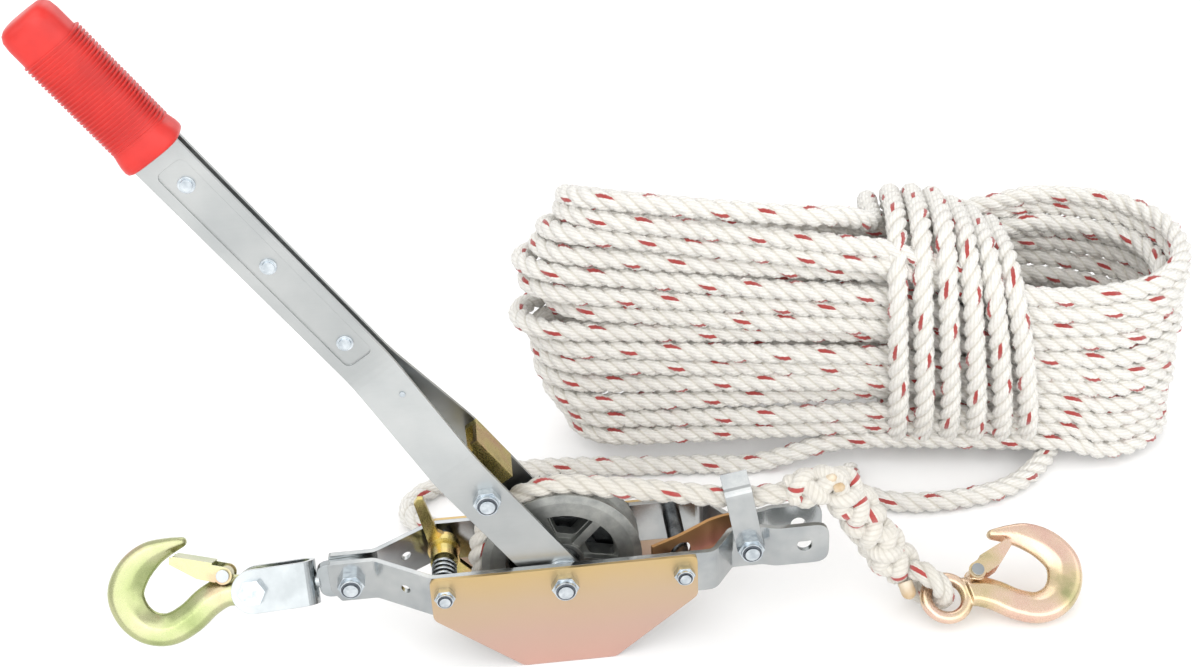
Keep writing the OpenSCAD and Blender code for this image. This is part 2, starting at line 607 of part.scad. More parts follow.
// ---- Pawls ----
// Points of a pawl's nose on the slope of a notch, clear of the tooth face at angle f as it lifts.
nose_back = 4;
nose_r = root_r + 1.7;
function nose(f, r_out) = [polar(r_out, f - nose_back), polar(nose_r, f - nose_back),
    polar(nose_r + 2, f - nose_back - 5.4), polar(r_out, f - nose_back - 8.2)];
function to_lever(p) = [-p.x * cos(lever_angle) + p.y * sin(lever_angle),
    p.x * sin(lever_angle) + p.y * cos(lever_angle)];
web_from = 62;
web_to = 92;
web_o = 11.5;
cheek_y = -8;
ear = [84, 4];
ear_hole_d = 2.6;
module drive_pawl() color("olive") on_handle() difference() {
    union() {
        tip = [for (p = nose(drive_face, sheave_r + 2)) to_lever(p)];
        plate(pawl_y, pawl_y + pawl_t) {
            polygon(concat(tip, [[pawl_at - 6, 5.5], [pawl_at, 6], [pawl_at + 2, -7],
                [pawl_at - 8, -8]]));
            circle_at(pawl_at, 0, pawl_eye_r);
            polygon([[pawl_at - 6, 0], [pawl_at - 5, web_o + 2.5], [web_to, web_o + 2.5],
                [web_to, web_o - 5], [pawl_at + 4, -7]]);
        }
        plate(cheek_y, cheek_y + cheek_t) {
            circle_at(pawl_at, 0, pawl_eye_r);
            polygon([[pawl_at - 5, 4], [pawl_at - 5, web_o + 2.5], [web_to, web_o + 2.5],
                [web_to, web_o - 2], [ear.x + 3, ear.y + 4], [ear.x + 3, ear.y - 4],
                [ear.x - 4, ear.y - 6], [pawl_at + 4, -7]]);
        }
        plate(cheek_y, pawl_y + pawl_t) polygon([[web_from, web_o], [web_to, web_o],
            [web_to, web_o + 2.5], [web_from, web_o + 2.5]]);
        rod(pawl_at, 0, 2 * pawl_eye_r - 1, cheek_y, pawl_y + pawl_t);
    }
    rod(pawl_at, 0, pawl_sleeve_d + 2 * run_fit, -frame_w, frame_w);
    rod(ear.x, ear.y, ear_hole_d, -frame_w, pawl_y - 1);
}
module circle_at(x, y, r) translate([x, y]) circle(r = r, $fn = 64);
// Extension spring: a fluted body of close coils with a loop at each end.
loop_r = 2.6;
loop_wire = 1;
coil_pitch = 1.6;
spring_from = [ear.x + 2.1, cheek_y + cheek_t / 2, ear.y];
spring_to = [spring_pin_a - 0.5, -1.5, spring_pin_o];
module drive_pawl_spring() color("silver") on_handle() {
    run = spring_to - spring_from;
    long = norm(run) - 2 * loop_r;
    n = 2 * floor(long / coil_pitch / 2);
    translate([spring_from.x, spring_from.y, spring_from.z])
        rotate([0, acos(run.z / norm(run)), atan2(run.y, run.x)]) {
            translate([0, 0, loop_r]) rotate_extrude($fn = 24) polygon(concat(
                [[spring_d / 2 - 1.2, 0]],
                [for (k = [0:n]) [spring_d / 2 - (k % 2) * 0.35, k * long / n]],
                [[spring_d / 2 - 1.2, long]]));
            rotate([0, 90, 0]) eye_ring();
            translate([0, 0, norm(run)]) rotate([90, 0, 0]) eye_ring();
        }
}
module eye_ring() rotate_extrude($fn = 24) translate([loop_r, 0]) circle(d = loop_wire, $fn = 16);
hub_len = 17;
finger_h = 34;
hold_pin = [-cross_bolt_at, 0];
finger_y = [pawl_y + pawl_t + 1, pawl_y + pawl_t + 4];
module holding_pawl() color("darkkhaki") winch() difference() {
    union() {
        tip = nose(hold_face, sheave_r + 3);
        plate(pawl_y, pawl_y + pawl_t) {
            polygon(concat(tip, [for (p = [[15.5, -16], [8.5, -8], [7.5, 0], [-7.5, -2],
                [-3.5, -14], [8.5, -26], [18.5, -29.5]]) hold_pin + p]));
            translate(hold_pin) circle(r = pawl_eye_r, $fn = 64);
        }
        rod(hold_pin.x, 0, 2 * pawl_eye_r - 2, finger_y[1] - hub_len, finger_y[1] - 0.5);
        rod(hold_pin.x, 0, 2 * pawl_eye_r + 1, pawl_y + 1, finger_y[0] + 0.5);
        plate(finger_y[0], finger_y[1]) {
            translate(hold_pin) circle(r = pawl_eye_r, $fn = 64);
            polygon([for (p = [[-7, -3], [-13.5, finger_h - 3], [-11.5, finger_h],
                [-8.5, finger_h], [-2.5, 11], [5.5, 5]]) hold_pin + p]);
        }
    }
    rod(hold_pin.x, 0, pawl_sleeve_d + 2 * run_fit, -frame_w, frame_w);
}
coil_wire = 1.8;
coil_turns = 6;
module holding_pawl_spring() color("silver") winch() {
    from = -plate_in + 1.6;
    to = finger_y[1] - hub_len - side_fit;
    step = (to - from - coil_wire) / (coil_turns - 1);
    for (k = [0:coil_turns - 1]) translate([hold_pin.x, from + coil_wire / 2 + k * step, 0])
        rotate([90, 0, 0]) rotate_extrude($fn = 48)
            translate([(coil_d - coil_wire) / 2, 0]) circle(d = coil_wire, $fn = 16);
}

// ---- Swivelling anchor hook ----
module on_eye() winch() translate([-neck_bolt_at, 0, plate_mid]) rotate([0, -droop, 0]) children();
module on_clevis() on_eye() rotate([-roll, 0, 0]) children();
module on_hook() on_clevis() translate([-clevis_bolt_at, 0, 0]) rotate([0, droop, 0]) children();
shank_d = 8;
eye_t = neck_gap - 0.4;
eye_front = clevis_start - side_fit;
bend_r = strap_gap / 2 + strap_t;
nut_front = eye_front + strap_t + 2.7;
nut_disc = 3.2;
nut_cone = 2.9;
module swivel_eye() color("gainsboro") on_eye() difference() {
    union() {
        plate(-eye_t / 2, eye_t / 2) {
            circle(r = 11, $fn = 64);
            polygon(eased([[0, -11], [-eye_front, -11], [-eye_front, 11], [0, 11]], [0, 7, 7, 0]));
        }
        translate([-nut_front - nut_disc - nut_cone - 1, 0, 0]) rotate([0, 90, 0])
            cylinder(d = shank_d, h = nut_front + nut_disc + nut_cone + 2 - eye_front);
    }
    rod(0, 0, bolt_d + 2 * run_fit, -frame_w, frame_w);
}
module swivel_nut() color("gainsboro") on_eye()
    translate([-nut_front, 0, 0]) rotate([0, -90, 0]) difference() {
        union() {
            cylinder(d1 = 8.8, d2 = 12, h = nut_cone);
            translate([0, 0, nut_cone]) cylinder(d = 12, h = nut_disc);
        }
        translate([0, 0, -1]) cylinder(d = shank_d, h = 9);
    }
module clevis_strap() color("gainsboro") on_clevis() difference() {
    union() {
        intersection() {
            plan = concat([[-clevis_bolt_at - strap_w, strap_gap / 2]],
                [for (a = [90:-9:-90]) [-clevis_start - bend_r, 0] + polar(strap_gap / 2, a)],
                [[-clevis_bolt_at - strap_w, -strap_gap / 2]],
                [[-clevis_bolt_at - strap_w, -bend_r]],
                [for (a = [-90:9:90]) [-clevis_start - bend_r, 0] + polar(bend_r, a)],
                [[-clevis_bolt_at - strap_w, bend_r]]);
            translate([0, 0, -strap_w / 2]) linear_extrude(strap_w) polygon(plan);
            union() {
                rod(-clevis_bolt_at, 0, strap_w, -frame_w, frame_w);
                translate([-clevis_bolt_at, -frame_w, -strap_w])
                    cube([clevis_bolt_at, 2 * frame_w, 2 * strap_w]);
            }
        }
    }
    rod(-clevis_bolt_at, 0, bolt_d + 2 * hole_fit, -frame_w, frame_w);
    translate([-clevis_bolt_at, 0, 0]) rotate([0, 90, 0])
        cylinder(d = shank_d + 2 * run_fit, h = clevis_bolt_at);
}
module clevis_bolt() color("gainsboro") on_clevis() mirror([0, 1, 0])
    bolt(-clevis_bolt_at, 0, nut_af, bolt_d, -bend_r - nut_h - bolt_over, bend_r);
module clevis_nut() color("gainsboro") on_clevis() mirror([0, 1, 0])
    lock_nut(-clevis_bolt_at, 0, nut_af, bolt_d, nut_h, -bend_r);

// Flat forged hook with a lug that carries the latch at p.
module hook_blank(p) plate(-hook_t / 2, hook_t / 2) {
    polygon(band(smooth(hook_line, 3)));
    translate(p) circle(r = lug_r, $fn = 48);
}
lug_r = 4.2;
latch_in = hook_t / 2 + side_fit;
latch_out = latch_in + latch_t;
module rivet_hole(p) rod(p.x, p.y, latch_rivet_d + 2 * run_fit, -frame_w, frame_w);
module anchor_hook() color("khaki") on_hook() difference() {
    union() {
        hook_blank(anchor_latch_at);
        rod(0, 0, 2 * hook_eye_r, -hook_t / 2, hook_t / 2);
    }
    rod(0, 0, bolt_d + 2 * run_fit, -frame_w, frame_w);
    rivet_hole(anchor_latch_at);
}
// Sheet-metal channel that straddles the hook and closes its throat.
module latch(p) {
    run = latch_tip - p;
    reach = norm(run);
    difference() {
        translate([p.x, 0, p.y]) rotate([0, -atan2(run.y, run.x), 0]) {
            for (s = [0, 1]) mirror([0, s, 0]) plate(latch_in, latch_out) {
                circle(r = 4.8, $fn = 48);
                polygon([[0, -4.8], [reach, -1.6], [reach - 1, 2], [13, 5.5], [3, 4.6]]);
            }
            plate(-latch_out, latch_out) polygon([[7.5, -5.2], [reach - 1.6, -2.6],
                [reach - 1.6, -1.4], [7.5, -4]]);
        }
        rivet_hole(p);
    }
}
module latch_rivet(p) {
    rod(p.x, p.y, latch_rivet_d, -latch_out - 0.2, latch_out + 0.2);
    for (s = [0, 1]) mirror([0, s, 0]) rod(p.x, p.y, 7, latch_out + 0.2, latch_out + 1.6);
}
module latch_spring(p) for (y = [-1.6, 0, 1.6]) translate([p.x - 6.2, y, p.y + 3])
    rotate([90, 0, 0]) rotate_extrude($fn = 24) translate([1.6, 0]) circle(d = 0.8, $fn = 12);
module anchor_latch() color("khaki") on_hook() latch(anchor_latch_at);
module anchor_latch_rivet() color("khaki") on_hook() latch_rivet(anchor_latch_at);
module anchor_latch_spring() color("silver") on_hook() latch_spring(anchor_latch_at);

// ---- Rope hook ----
module on_rope_hook() winch() translate(ring_at) rotate([-rope_hook_lean, 0, 0])
    rotate([0, -rope_hook_turn, 0]) mirror([1, 0, 0]) children();
module rope_hook() color("rosybrown") on_rope_hook() difference() {
    union() {
        difference() {
            hook_blank(rope_latch_at);
            rod(0, 0, 2 * (ring_mid_r + 1.3), -frame_w, frame_w);
        }
        rotate([90, 0, 0]) rotate_extrude($fn = 64) translate([ring_mid_r, 0])
            circle(r = ring_wire_r, $fn = 32);
    }
    rivet_hole(rope_latch_at);
}
module rope_hook_latch() color("rosybrown") on_rope_hook() latch(rope_latch_at);
module rope_hook_rivet() color("rosybrown") on_rope_hook() latch_rivet(rope_latch_at);
module rope_hook_spring() color("silver") on_rope_hook() latch_spring(rope_latch_at);

// ---- Rope ----
// Loop of rope through the ring, square to the ring's plane.
eye_dir = 138;
module rope_eye() color("ivory") winch() {
    e = [cos(eye_dir), sin(eye_dir) * sin(rope_hook_lean), sin(eye_dir) * cos(rope_hook_lean)];
    n = [0, cos(rope_hook_lean), -sin(rope_hook_lean)];
    m = ring_at + (eye_r + ring_hole_r - rope_r + 0.1) * e;
    loop = [for (a = [40:20:320]) m + eye_r * (cos(a) * e + sin(a) * n)];
    even_cord(loop);
}
module rope_splice() color("ivory") winch() cord(splice_route, splice_r, 12);
module rope_line() color("ivory") winch() even_cord(concat([wheel_point(wrap_from)], line_route));
module rope_wrap() color("ivory") winch() rotate([90, 0, 0]) rotate([0, 0, wrap_from])
    rotate_extrude(angle = wrap_to - wrap_from, $fn = 96) translate([rope_run_r, 0])
        circle(r = rope_r, $fn = 48);
module rope_tail() color("ivory") winch() even_cord(concat([wheel_point(wrap_to)], tail_route));
module rope_end() color("ivory") winch() even_cord(end_route);
module rope_hank() color("ivory") winch() translate([hank_at.x, hank_at.y, floor_z])
    rotate([0, 0, hank_turn]) {
        end = hank_len / 2;
        front = -hank_depth / 2;
        big = hank_depth / 2;
        small = hank_left_depth / 2;
        tilt = asin((big - small) / (hank_len - big - small));
        intersection() {
            linear_extrude(hank_left_h) polygon(concat(
                [for (a = [-90:12:90]) [end - big, 0] + polar(big, a + tilt * (a + 90) / 180)],
                [for (a = [90:12:270])
                    [small - end, front + small] + polar(small, a + tilt * (270 - a) / 180)]));
            plate(-hank_depth, hank_depth) polygon([[-end - 1, -1], [end + 1, -1],
                [end + 1, hank_right_h], [hank_crest - end, hank_left_h],
                [-end - 1, hank_left_h - hank_crest / 2]]);
        }
        translate([wrap_at - wrap_w / 2, front - rope_d, 0])
            cube([wrap_w, hank_depth + 2 * rope_d, wrap_h]);
    }

side_plate_near();
side_plate_far();
guard_near();
guard_far();
axle_bolt();
axle_nut();
axle_sleeve();
axle_washers();
wheel_spacers();
cross_bolts();
cross_nuts();
cross_spacer();
pawl_pin_sleeve();
neck_bolt();
neck_nut();
rope_guide();
rope_keeper();
keeper_bolt();
keeper_nut();
keeper_spacer();
sheave();
sheave_bush();
ratchet_wheel();
sheave_rivets();
handle_lever();
handle_rivets();
handle_grip();
pawl_bolt();
pawl_nut();
pawl_sleeve();
spring_pin();
drive_pawl();
drive_pawl_spring();
holding_pawl();
holding_pawl_spring();
swivel_eye();
swivel_nut();
clevis_strap();
clevis_bolt();
clevis_nut();
anchor_hook();
anchor_latch();
anchor_latch_rivet();
anchor_latch_spring();
rope_hook();
rope_hook_latch();
rope_hook_rivet();
rope_hook_spring();
rope_eye();
rope_splice();
rope_line();
rope_wrap();
rope_tail();
rope_hank();
rope_end();
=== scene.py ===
"""Come-along rope puller with its laid rope, dressed for a plain studio view.

Sizes are millimetres from the wheel's axle unless a name says otherwise, and each piece is
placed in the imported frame, in metres, by the matrix that its part hangs on.
"""

import logging
import math
from dataclasses import dataclass, field
from enum import Enum
from typing import Callable, Optional, Sequence

import bmesh
import bpy
import numpy as np
from mathutils import Matrix, Vector


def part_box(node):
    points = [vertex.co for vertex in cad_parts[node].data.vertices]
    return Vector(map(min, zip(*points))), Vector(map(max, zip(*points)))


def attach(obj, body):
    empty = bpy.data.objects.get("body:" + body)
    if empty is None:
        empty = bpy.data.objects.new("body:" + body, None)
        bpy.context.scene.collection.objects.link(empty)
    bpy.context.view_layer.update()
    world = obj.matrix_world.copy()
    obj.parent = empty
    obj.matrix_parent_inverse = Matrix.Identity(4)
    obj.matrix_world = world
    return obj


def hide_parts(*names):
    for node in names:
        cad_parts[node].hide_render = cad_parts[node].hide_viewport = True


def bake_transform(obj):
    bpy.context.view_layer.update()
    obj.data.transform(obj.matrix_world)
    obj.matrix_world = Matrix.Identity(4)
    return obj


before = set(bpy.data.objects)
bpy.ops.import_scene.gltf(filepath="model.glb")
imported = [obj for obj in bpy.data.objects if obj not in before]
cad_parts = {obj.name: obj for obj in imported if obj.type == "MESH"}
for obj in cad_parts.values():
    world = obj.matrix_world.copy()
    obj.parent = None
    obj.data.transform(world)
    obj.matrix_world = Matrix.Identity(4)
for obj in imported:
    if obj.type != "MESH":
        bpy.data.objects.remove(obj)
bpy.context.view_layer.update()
log = logging.getLogger("rope_puller")

MM = 0.001
AXLE = Vector((-0.134, 0.0, 0.00275))
FLOOR_Z = -55.0
ROPE_D = 12.7
ROPE_R = ROPE_D / 2
ROPE_LAY = 31.5
NECK_AT = (-115.5, 0.0, -2.75)
CLEVIS_BOLT_X = -52.5
RING_AT = (212.5, -23.0, -40.5)
HANK_AT = (196.0, 184.0, FLOOR_Z)
# Degrees of lean from the frame: dips are about Y, rolls about X.
LEVER_LEAN = 56.2
EYE_DIP = 3.5
CLEVIS_ROLL = 30.0
HOOK_DIP = 8.7
HOOK_ROLL = 60.0
HANK_TURN = 9.0

Point = tuple[float, float, float]
Shell = tuple[np.ndarray, list]
Tree = bpy.types.NodeTree
Node = bpy.types.Node
Material = bpy.types.Material
Piece = bpy.types.Object


def turn(axis: str, degrees: float) -> Matrix:
    """A turn about a main axis."""
    return Matrix.Rotation(math.radians(degrees), 4, axis)


def shift(x: float, y: float, z: float) -> Matrix:
    """A move by a vector."""
    return Matrix.Translation((x, y, z))


MIRROR_X = Matrix.Diagonal((-1.0, 1.0, 1.0, 1.0))
FRAME = Matrix.Translation(AXLE) @ Matrix.Scale(MM, 4)
HANDLE = FRAME @ turn("Y", LEVER_LEAN) @ MIRROR_X
CLEVIS = FRAME @ shift(*NECK_AT) @ turn("Y", -EYE_DIP) @ turn("X", -CLEVIS_ROLL)
ANCHOR_HOOK = CLEVIS @ shift(CLEVIS_BOLT_X, 0, 0) @ turn("Y", EYE_DIP)
ROPE_HOOK = FRAME @ shift(*RING_AT) @ turn("X", -HOOK_ROLL) @ turn("Y", -HOOK_DIP) @ MIRROR_X
HANK = FRAME @ shift(*HANK_AT) @ turn("Z", -HANK_TURN)


# ---- Curves and meshes ----


def unit(v: np.ndarray) -> np.ndarray:
    """The vectors of v at length 1."""
    return v / np.linalg.norm(v, axis=-1, keepdims=True)


def smooth_path(points: Sequence[Sequence[float]], steps: int = 12) -> np.ndarray:
    """Draws a centripetal curve through given points.

    Args:
        points: The points to pass through.
        steps: Points made for each span.

    Returns:
        The points of the curve.
    """
    p = np.array(points, float)
    p = np.vstack([2 * p[0] - p[1], p, 2 * p[-1] - p[-2]])
    out = []
    for i in range(1, len(p) - 2):
        a, b, c, d = p[i - 1 : i + 3]
        t0 = 0.0
        t1 = t0 + math.sqrt(np.linalg.norm(b - a))
        t2 = t1 + math.sqrt(np.linalg.norm(c - b))
        t3 = t2 + math.sqrt(np.linalg.norm(d - c))
        for t in np.linspace(t1, t2, steps, endpoint=False):
            ab = (t1 - t) / (t1 - t0) * a + (t - t0) / (t1 - t0) * b
            bc = (t2 - t) / (t2 - t1) * b + (t - t1) / (t2 - t1) * c
            cd = (t3 - t) / (t3 - t2) * c + (t - t2) / (t3 - t2) * d
            abc = (t2 - t) / (t2 - t0) * ab + (t - t0) / (t2 - t0) * bc
            bcd = (t3 - t) / (t3 - t1) * bc + (t - t1) / (t3 - t1) * cd
            out.append((t2 - t) / (t2 - t1) * abc + (t - t1) / (t2 - t1) * bcd)
    out.append(p[-2])
    return np.array(out)


def length_along(path: np.ndarray) -> np.ndarray:
    """The distance from the path's start at each of its points."""
    return np.concatenate([[0.0], np.cumsum(np.linalg.norm(np.diff(path, axis=0), axis=1))])


def even_path(path: np.ndarray, step: float) -> np.ndarray:
    """Spreads a path's points evenly.

    Args:
        path: The path's points.
        step: Distance between points, rounded so that the ends stay.

    Returns:
        The new points.
    """
    s = length_along(path)
    at = np.linspace(0, s[-1], max(2, int(round(s[-1] / step)) + 1))
    return np.stack([np.interp(at, s, path[:, k]) for k in range(3)], axis=1)


def path_frames(path: np.ndarray) -> tuple[np.ndarray, np.ndarray, np.ndarray]:
    """Carries a side vector along a path without twist.

    Args:
        path: The path's points.

    Returns:
        The tangents, the carried sides and the third directions.
    """
    t = unit(np.gradient(path, axis=0))
    n = np.empty_like(t)
    side = np.cross(t[0], (0.0, 0.0, 1.0))
    if np.linalg.norm(side) < 0.1:
        side = np.cross(t[0], (0.0, 1.0, 0.0))
    n[0] = unit(side)
    for i in range(1, len(t)):
        v = n[i - 1] - t[i] * float(n[i - 1] @ t[i])
        n[i] = v / np.linalg.norm(v)
    return t, n, np.cross(t, n)


def link(name: str, data: bpy.types.ID) -> Piece:
    """Puts new data into the scene as an object at the origin."""
    obj = bpy.data.objects.new(name, data)
    bpy.context.scene.collection.objects.link(obj)
    return obj


def mend(mesh: bpy.types.Mesh, merge: float = 0.0, passes: int = 0) -> None:
    """Merges doubles, smooths, and turns the faces outwards.

    Args:
        mesh: The mesh to change.
        merge: Distance within which points merge, in the mesh's own unit.
        passes: Rounds of smoothing.
    """
    bm = bmesh.new()
    bm.from_mesh(mesh)
    if merge:
        bmesh.ops.remove_doubles(bm, verts=bm.verts, dist=merge)
    axes = {f"use_axis_{axis}": True for axis in "xyz"}
    for _ in range(passes):
        bmesh.ops.smooth_vert(bm, verts=bm.verts, factor=0.5, **axes)
    bmesh.ops.recalc_face_normals(bm, faces=bm.faces)
    bm.to_mesh(mesh)
    bm.free()


def mesh_object(name: str, verts: np.ndarray, faces: list, place: Matrix) -> Piece:
    """Makes an object at the origin whose mesh lies where the matrix puts it.

    Args:
        name: The piece's name.
        verts: The points in the part's own frame.
        faces: The faces, by point number.
        place: The matrix from the part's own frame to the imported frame.

    Returns:
        The linked object, with its faces outwards.
    """
    mesh = bpy.data.meshes.new(name)
    mesh.from_pydata([tuple(v) for v in verts], [], faces)
    mesh.transform(place)
    mend(mesh)
    return link(name, mesh)


def shade(obj: Piece) -> Piece:
    """Shades every face smooth."""
    obj.data.polygons.foreach_set("use_smooth", [True] * len(obj.data.polygons))
    obj.data.update()
    return obj


def coat(obj: Piece, material: Material) -> Piece:
    """Gives a piece its one finish and shades it smooth."""
    obj.data.materials.clear()
    obj.data.materials.append(material)
    return shade(obj)


def evaluated(holder: Piece, modifier: bpy.types.Modifier) -> bpy.types.Mesh:
    """Evaluates an object with its one modifier, and removes the modifier.

    Args:
        holder: The object.
        modifier: Its modifier.

    Returns:
        The mesh that the modifier makes.
    """
    bpy.context.view_layer.update()
    seen = holder.evaluated_get(bpy.context.evaluated_depsgraph_get())
    mesh = bpy.data.meshes.new_from_object(seen)
    holder.modifiers.remove(modifier)
    return mesh


def ring_faces(rings: int, sides: int, closed: bool = False) -> list:
    """The quads between rings of points, with flat ends unless the rings close.

    Args:
        rings: Number of rings.
        sides: Points of one ring.
        closed: Whether the last ring meets the first.

    Returns:
        The faces, by point number.
    """
    faces = []
    for i in range(rings if closed else rings - 1):
        a, b = i * sides, (i + 1) % rings * sides
        for k in range(sides):
            j = (k + 1) % sides
            faces.append((a + k, a + j, b + j, b + k))
    if not closed:
        faces.append(tuple(range(sides - 1, -1, -1)))
        faces.append(tuple((rings - 1) * sides + k for k in range(sides)))
    return faces


def tube(path: np.ndarray, radii: np.ndarray, sides: int) -> Shell:
    """A round tube along a path.

    Args:
        path: The path's points.
        radii: The radius at each point.
        sides: Points of one ring.

    Returns:
        The points and the faces.
    """
    _, n, b = path_frames(path)
    a = np.linspace(0, 2 * math.pi, sides, endpoint=False)
    ring = np.cos(a)[None, :, None] * n[:, None] + np.sin(a)[None, :, None] * b[:, None]
    verts = path[:, None] + radii[:, None, None] * ring
    return verts.reshape(-1, 3), ring_faces(len(path), sides)


def join_parts(parts: Sequence[Shell]) -> Shell:
    """Puts several shells together.

    Args:
        parts: The shells.

    Returns:
        All their points, and their faces by the new numbers.
    """
    verts, faces, base = [], [], 0
    for v, f in parts:
        verts.append(v)
        faces += [tuple(k + base for k in one) for one in f]
        base += len(v)
    return np.vstack(verts), faces


def lathe(profile: Sequence[tuple[float, float]], sides: int) -> Shell:
    """Turns a closed outline about Z.

    Args:
        profile: The outline, each point a radius and a height.
        sides: Copies of the outline in a full turn.

    Returns:
        The points and the faces.
    """
    a = np.linspace(0, 2 * math.pi, sides, endpoint=False)
    rings = [[(r * math.cos(t), r * math.sin(t), h) for r, h in profile] for t in a]
    return np.array(rings).reshape(-1, 3), ring_faces(sides, len(profile), closed=True)


# ---- Node trees ----

MATH = "ShaderNodeMath"
NOISE = "ShaderNodeTexNoise"
RANGE = "ShaderNodeMapRange"
RAMP = "ShaderNodeValToRGB"
CIRCLE = "GeometryNodeCurvePrimitiveCircle"
MERGE_M = 1e-6


class Socket(Enum):
    """Kinds of named input that a tree takes."""

    NUMBER = "NodeSocketFloat"
    COUNT = "NodeSocketInt"
    FINISH = "NodeSocketMaterial"


def add(tree: Tree, kind: str, feeds: dict | Sequence = (), **settings) -> Node:
    """Adds one node with its settings and its feeds.

    Args:
        tree: The node tree.
        kind: The node's type.
        feeds: Inputs by name or number, or in order. Each is a value, an output socket, or a
            node that gives its first output.
        **settings: Attributes of the node.

    Returns:
        The new node.
    """
    node = tree.nodes.new(kind)
    for key, value in settings.items():
        setattr(node, key, value)
    for key, value in feeds.items() if isinstance(feeds, dict) else enumerate(feeds):
        if isinstance(value, Node):
            value = value.outputs[0]
        if isinstance(value, bpy.types.NodeSocket):
            tree.links.new(value, node.inputs[key])
        else:
            node.inputs[key].default_value = value
    return node


@dataclass
class ShapeTree:
    """A Geometry Nodes tree that is run once and turned into a plain mesh."""

    name: str
    inputs: dict[str, tuple[Socket, object]]
    build: Callable[[Tree, Node], Node]
    # Points that the tree starts from, each with a size.
    seats: Sequence[tuple[float, float, float, float]] = ()

    def run(self, name: str, place: Matrix, material: Material) -> Piece:
        """Builds the tree, evaluates it and keeps its mesh.

        Args:
            name: The piece's name.
            place: The matrix from the part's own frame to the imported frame.
            material: The finish that the tree sets.

        Returns:
            The piece, a plain mesh at the origin.
        """
        tree = bpy.data.node_groups.new(self.name, "GeometryNodeTree")
        rows = {**self.inputs, "Finish": (Socket.FINISH, material)}
        for way in ("OUTPUT", "INPUT"):
            tree.interface.new_socket("Geometry", in_out=way, socket_type="NodeSocketGeometry")
        ids = {}
        for label, (kind, _) in rows.items():
            made = tree.interface.new_socket(label, in_out="INPUT", socket_type=kind.value)
            ids[label] = made.identifier
        source = add(tree, "NodeGroupInput")
        whole = add(tree, "GeometryNodeRealizeInstances", (self.build(tree, source),))
        feeds = {"Geometry": whole, "Material": source.outputs["Finish"]}
        add(tree, "NodeGroupOutput", (add(tree, "GeometryNodeSetMaterial", feeds),))
        seed = bpy.data.meshes.new(name + "_seed")
        seed.from_pydata([seat[:3] for seat in self.seats], [], [])
        sizes = seed.attributes.new("size", "FLOAT", "POINT")
        sizes.data.foreach_set("value", [seat[3] for seat in self.seats])
        holder = link(name, seed)
        modifier = holder.modifiers.new(self.name, "NODES")
        modifier.node_group = tree
        for label, (_, value) in rows.items():
            modifier[ids[label]] = value
        mesh = evaluated(holder, modifier)
        mesh.transform(place)
        mend(mesh, merge=MERGE_M)
        holder.data = mesh
        return shade(holder)


# ---- Finishes ----


def linear(hex_colour: str) -> tuple[float, float, float, float]:
    """Turns an sRGB hex colour to the linear values that shaders take."""
    parts = [int(hex_colour[k : k + 2], 16) / 255 for k in (1, 3, 5)]
    low = [c / 12.92 if c <= 0.04045 else ((c + 0.055) / 1.055) ** 2.4 for c in parts]
    return (*low, 1.0)


def shader_of(name: str) -> tuple[Material, Tree, Node]:
    """A new material with its tree and its Principled shader."""
    material = bpy.data.materials.new(name)
    material.use_nodes = True
    return material, material.node_tree, material.node_tree.nodes["Principled BSDF"]


def ramp_stops(node: Node, stops: Sequence[tuple[float, str]]) -> None:
    """Sets a colour ramp's stops.

    Args:
        node: The colour ramp.
        stops: Places along the ramp, each with an sRGB hex colour.
    """
    ramp = node.color_ramp
    while len(ramp.elements) > 2:
        ramp.elements.remove(ramp.elements[-1])
    while len(ramp.elements) < len(stops):
        ramp.elements.new(0.5)
    for element, (at, colour) in zip(ramp.elements, stops):
        element.position = at
        element.color = linear(colour)


@dataclass(frozen=True)
class Finish:
    """Clouded colour, and one fine grain that drives both the gloss and the bump."""

    name: str
    stops: tuple[tuple[float, str], ...]
    gloss: tuple[float, float]
    # The part of the grain's noise over which the gloss changes.
    gloss_from: tuple[float, float] = (0.0, 1.0)
    cloud_mm: float = 14.0
    cloud_detail: float = 3.0
    grain_mm: float = 1.2
    grain_detail: float = 2.0
    grain_height: float = 0.05
    height_mm: float = 0.5
    stretch: Point = (1.0, 1.0, 1.0)
    tilt: Point = (0.0, 0.0, 0.0)
    # Radius that softens the edges' shading.
    edge_mm: float = 0.0
    metallic: float = 0.0

    def shift_of(self, tree: Tree, place: bpy.types.NodeSocket) -> Node:
        """What moves the colour along its stops: a slow cloud."""
        feeds = {"Vector": place, "Scale": 1000 / self.cloud_mm, "Detail": self.cloud_detail}
        return add(tree, NOISE, feeds)

    def make(self) -> Material:
        """Builds the material."""
        material, tree, shader = shader_of(self.name)
        place = add(tree, "ShaderNodeTexCoord").outputs["Object"]
        colour = add(tree, RAMP, (self.shift_of(tree, place),))
        ramp_stops(colour, self.stops)
        turned = [math.radians(v) for v in self.tilt]
        feeds = {"Vector": place, "Rotation": turned, "Scale": self.stretch}
        aim = add(tree, "ShaderNodeMapping", feeds)
        feeds = {"Vector": aim, "Scale": 1000 / self.grain_mm, "Detail": self.grain_detail}
        grain = add(tree, NOISE, feeds)
        gloss = add(tree, RANGE, (grain, *self.gloss_from, *self.gloss))
        feeds = {"Height": grain, "Strength": self.grain_height, "Distance": self.height_mm * MM}
        if self.edge_mm:
            feeds["Normal"] = add(tree, "ShaderNodeBevel", (self.edge_mm * MM,), samples=4)
        bump = add(tree, "ShaderNodeBump", feeds)
        for label, node in (("Base Color", colour), ("Roughness", gloss), ("Normal", bump)):
            tree.links.new(node.outputs[0], shader.inputs[label])
        shader.inputs["Metallic"].default_value = self.metallic
        return material


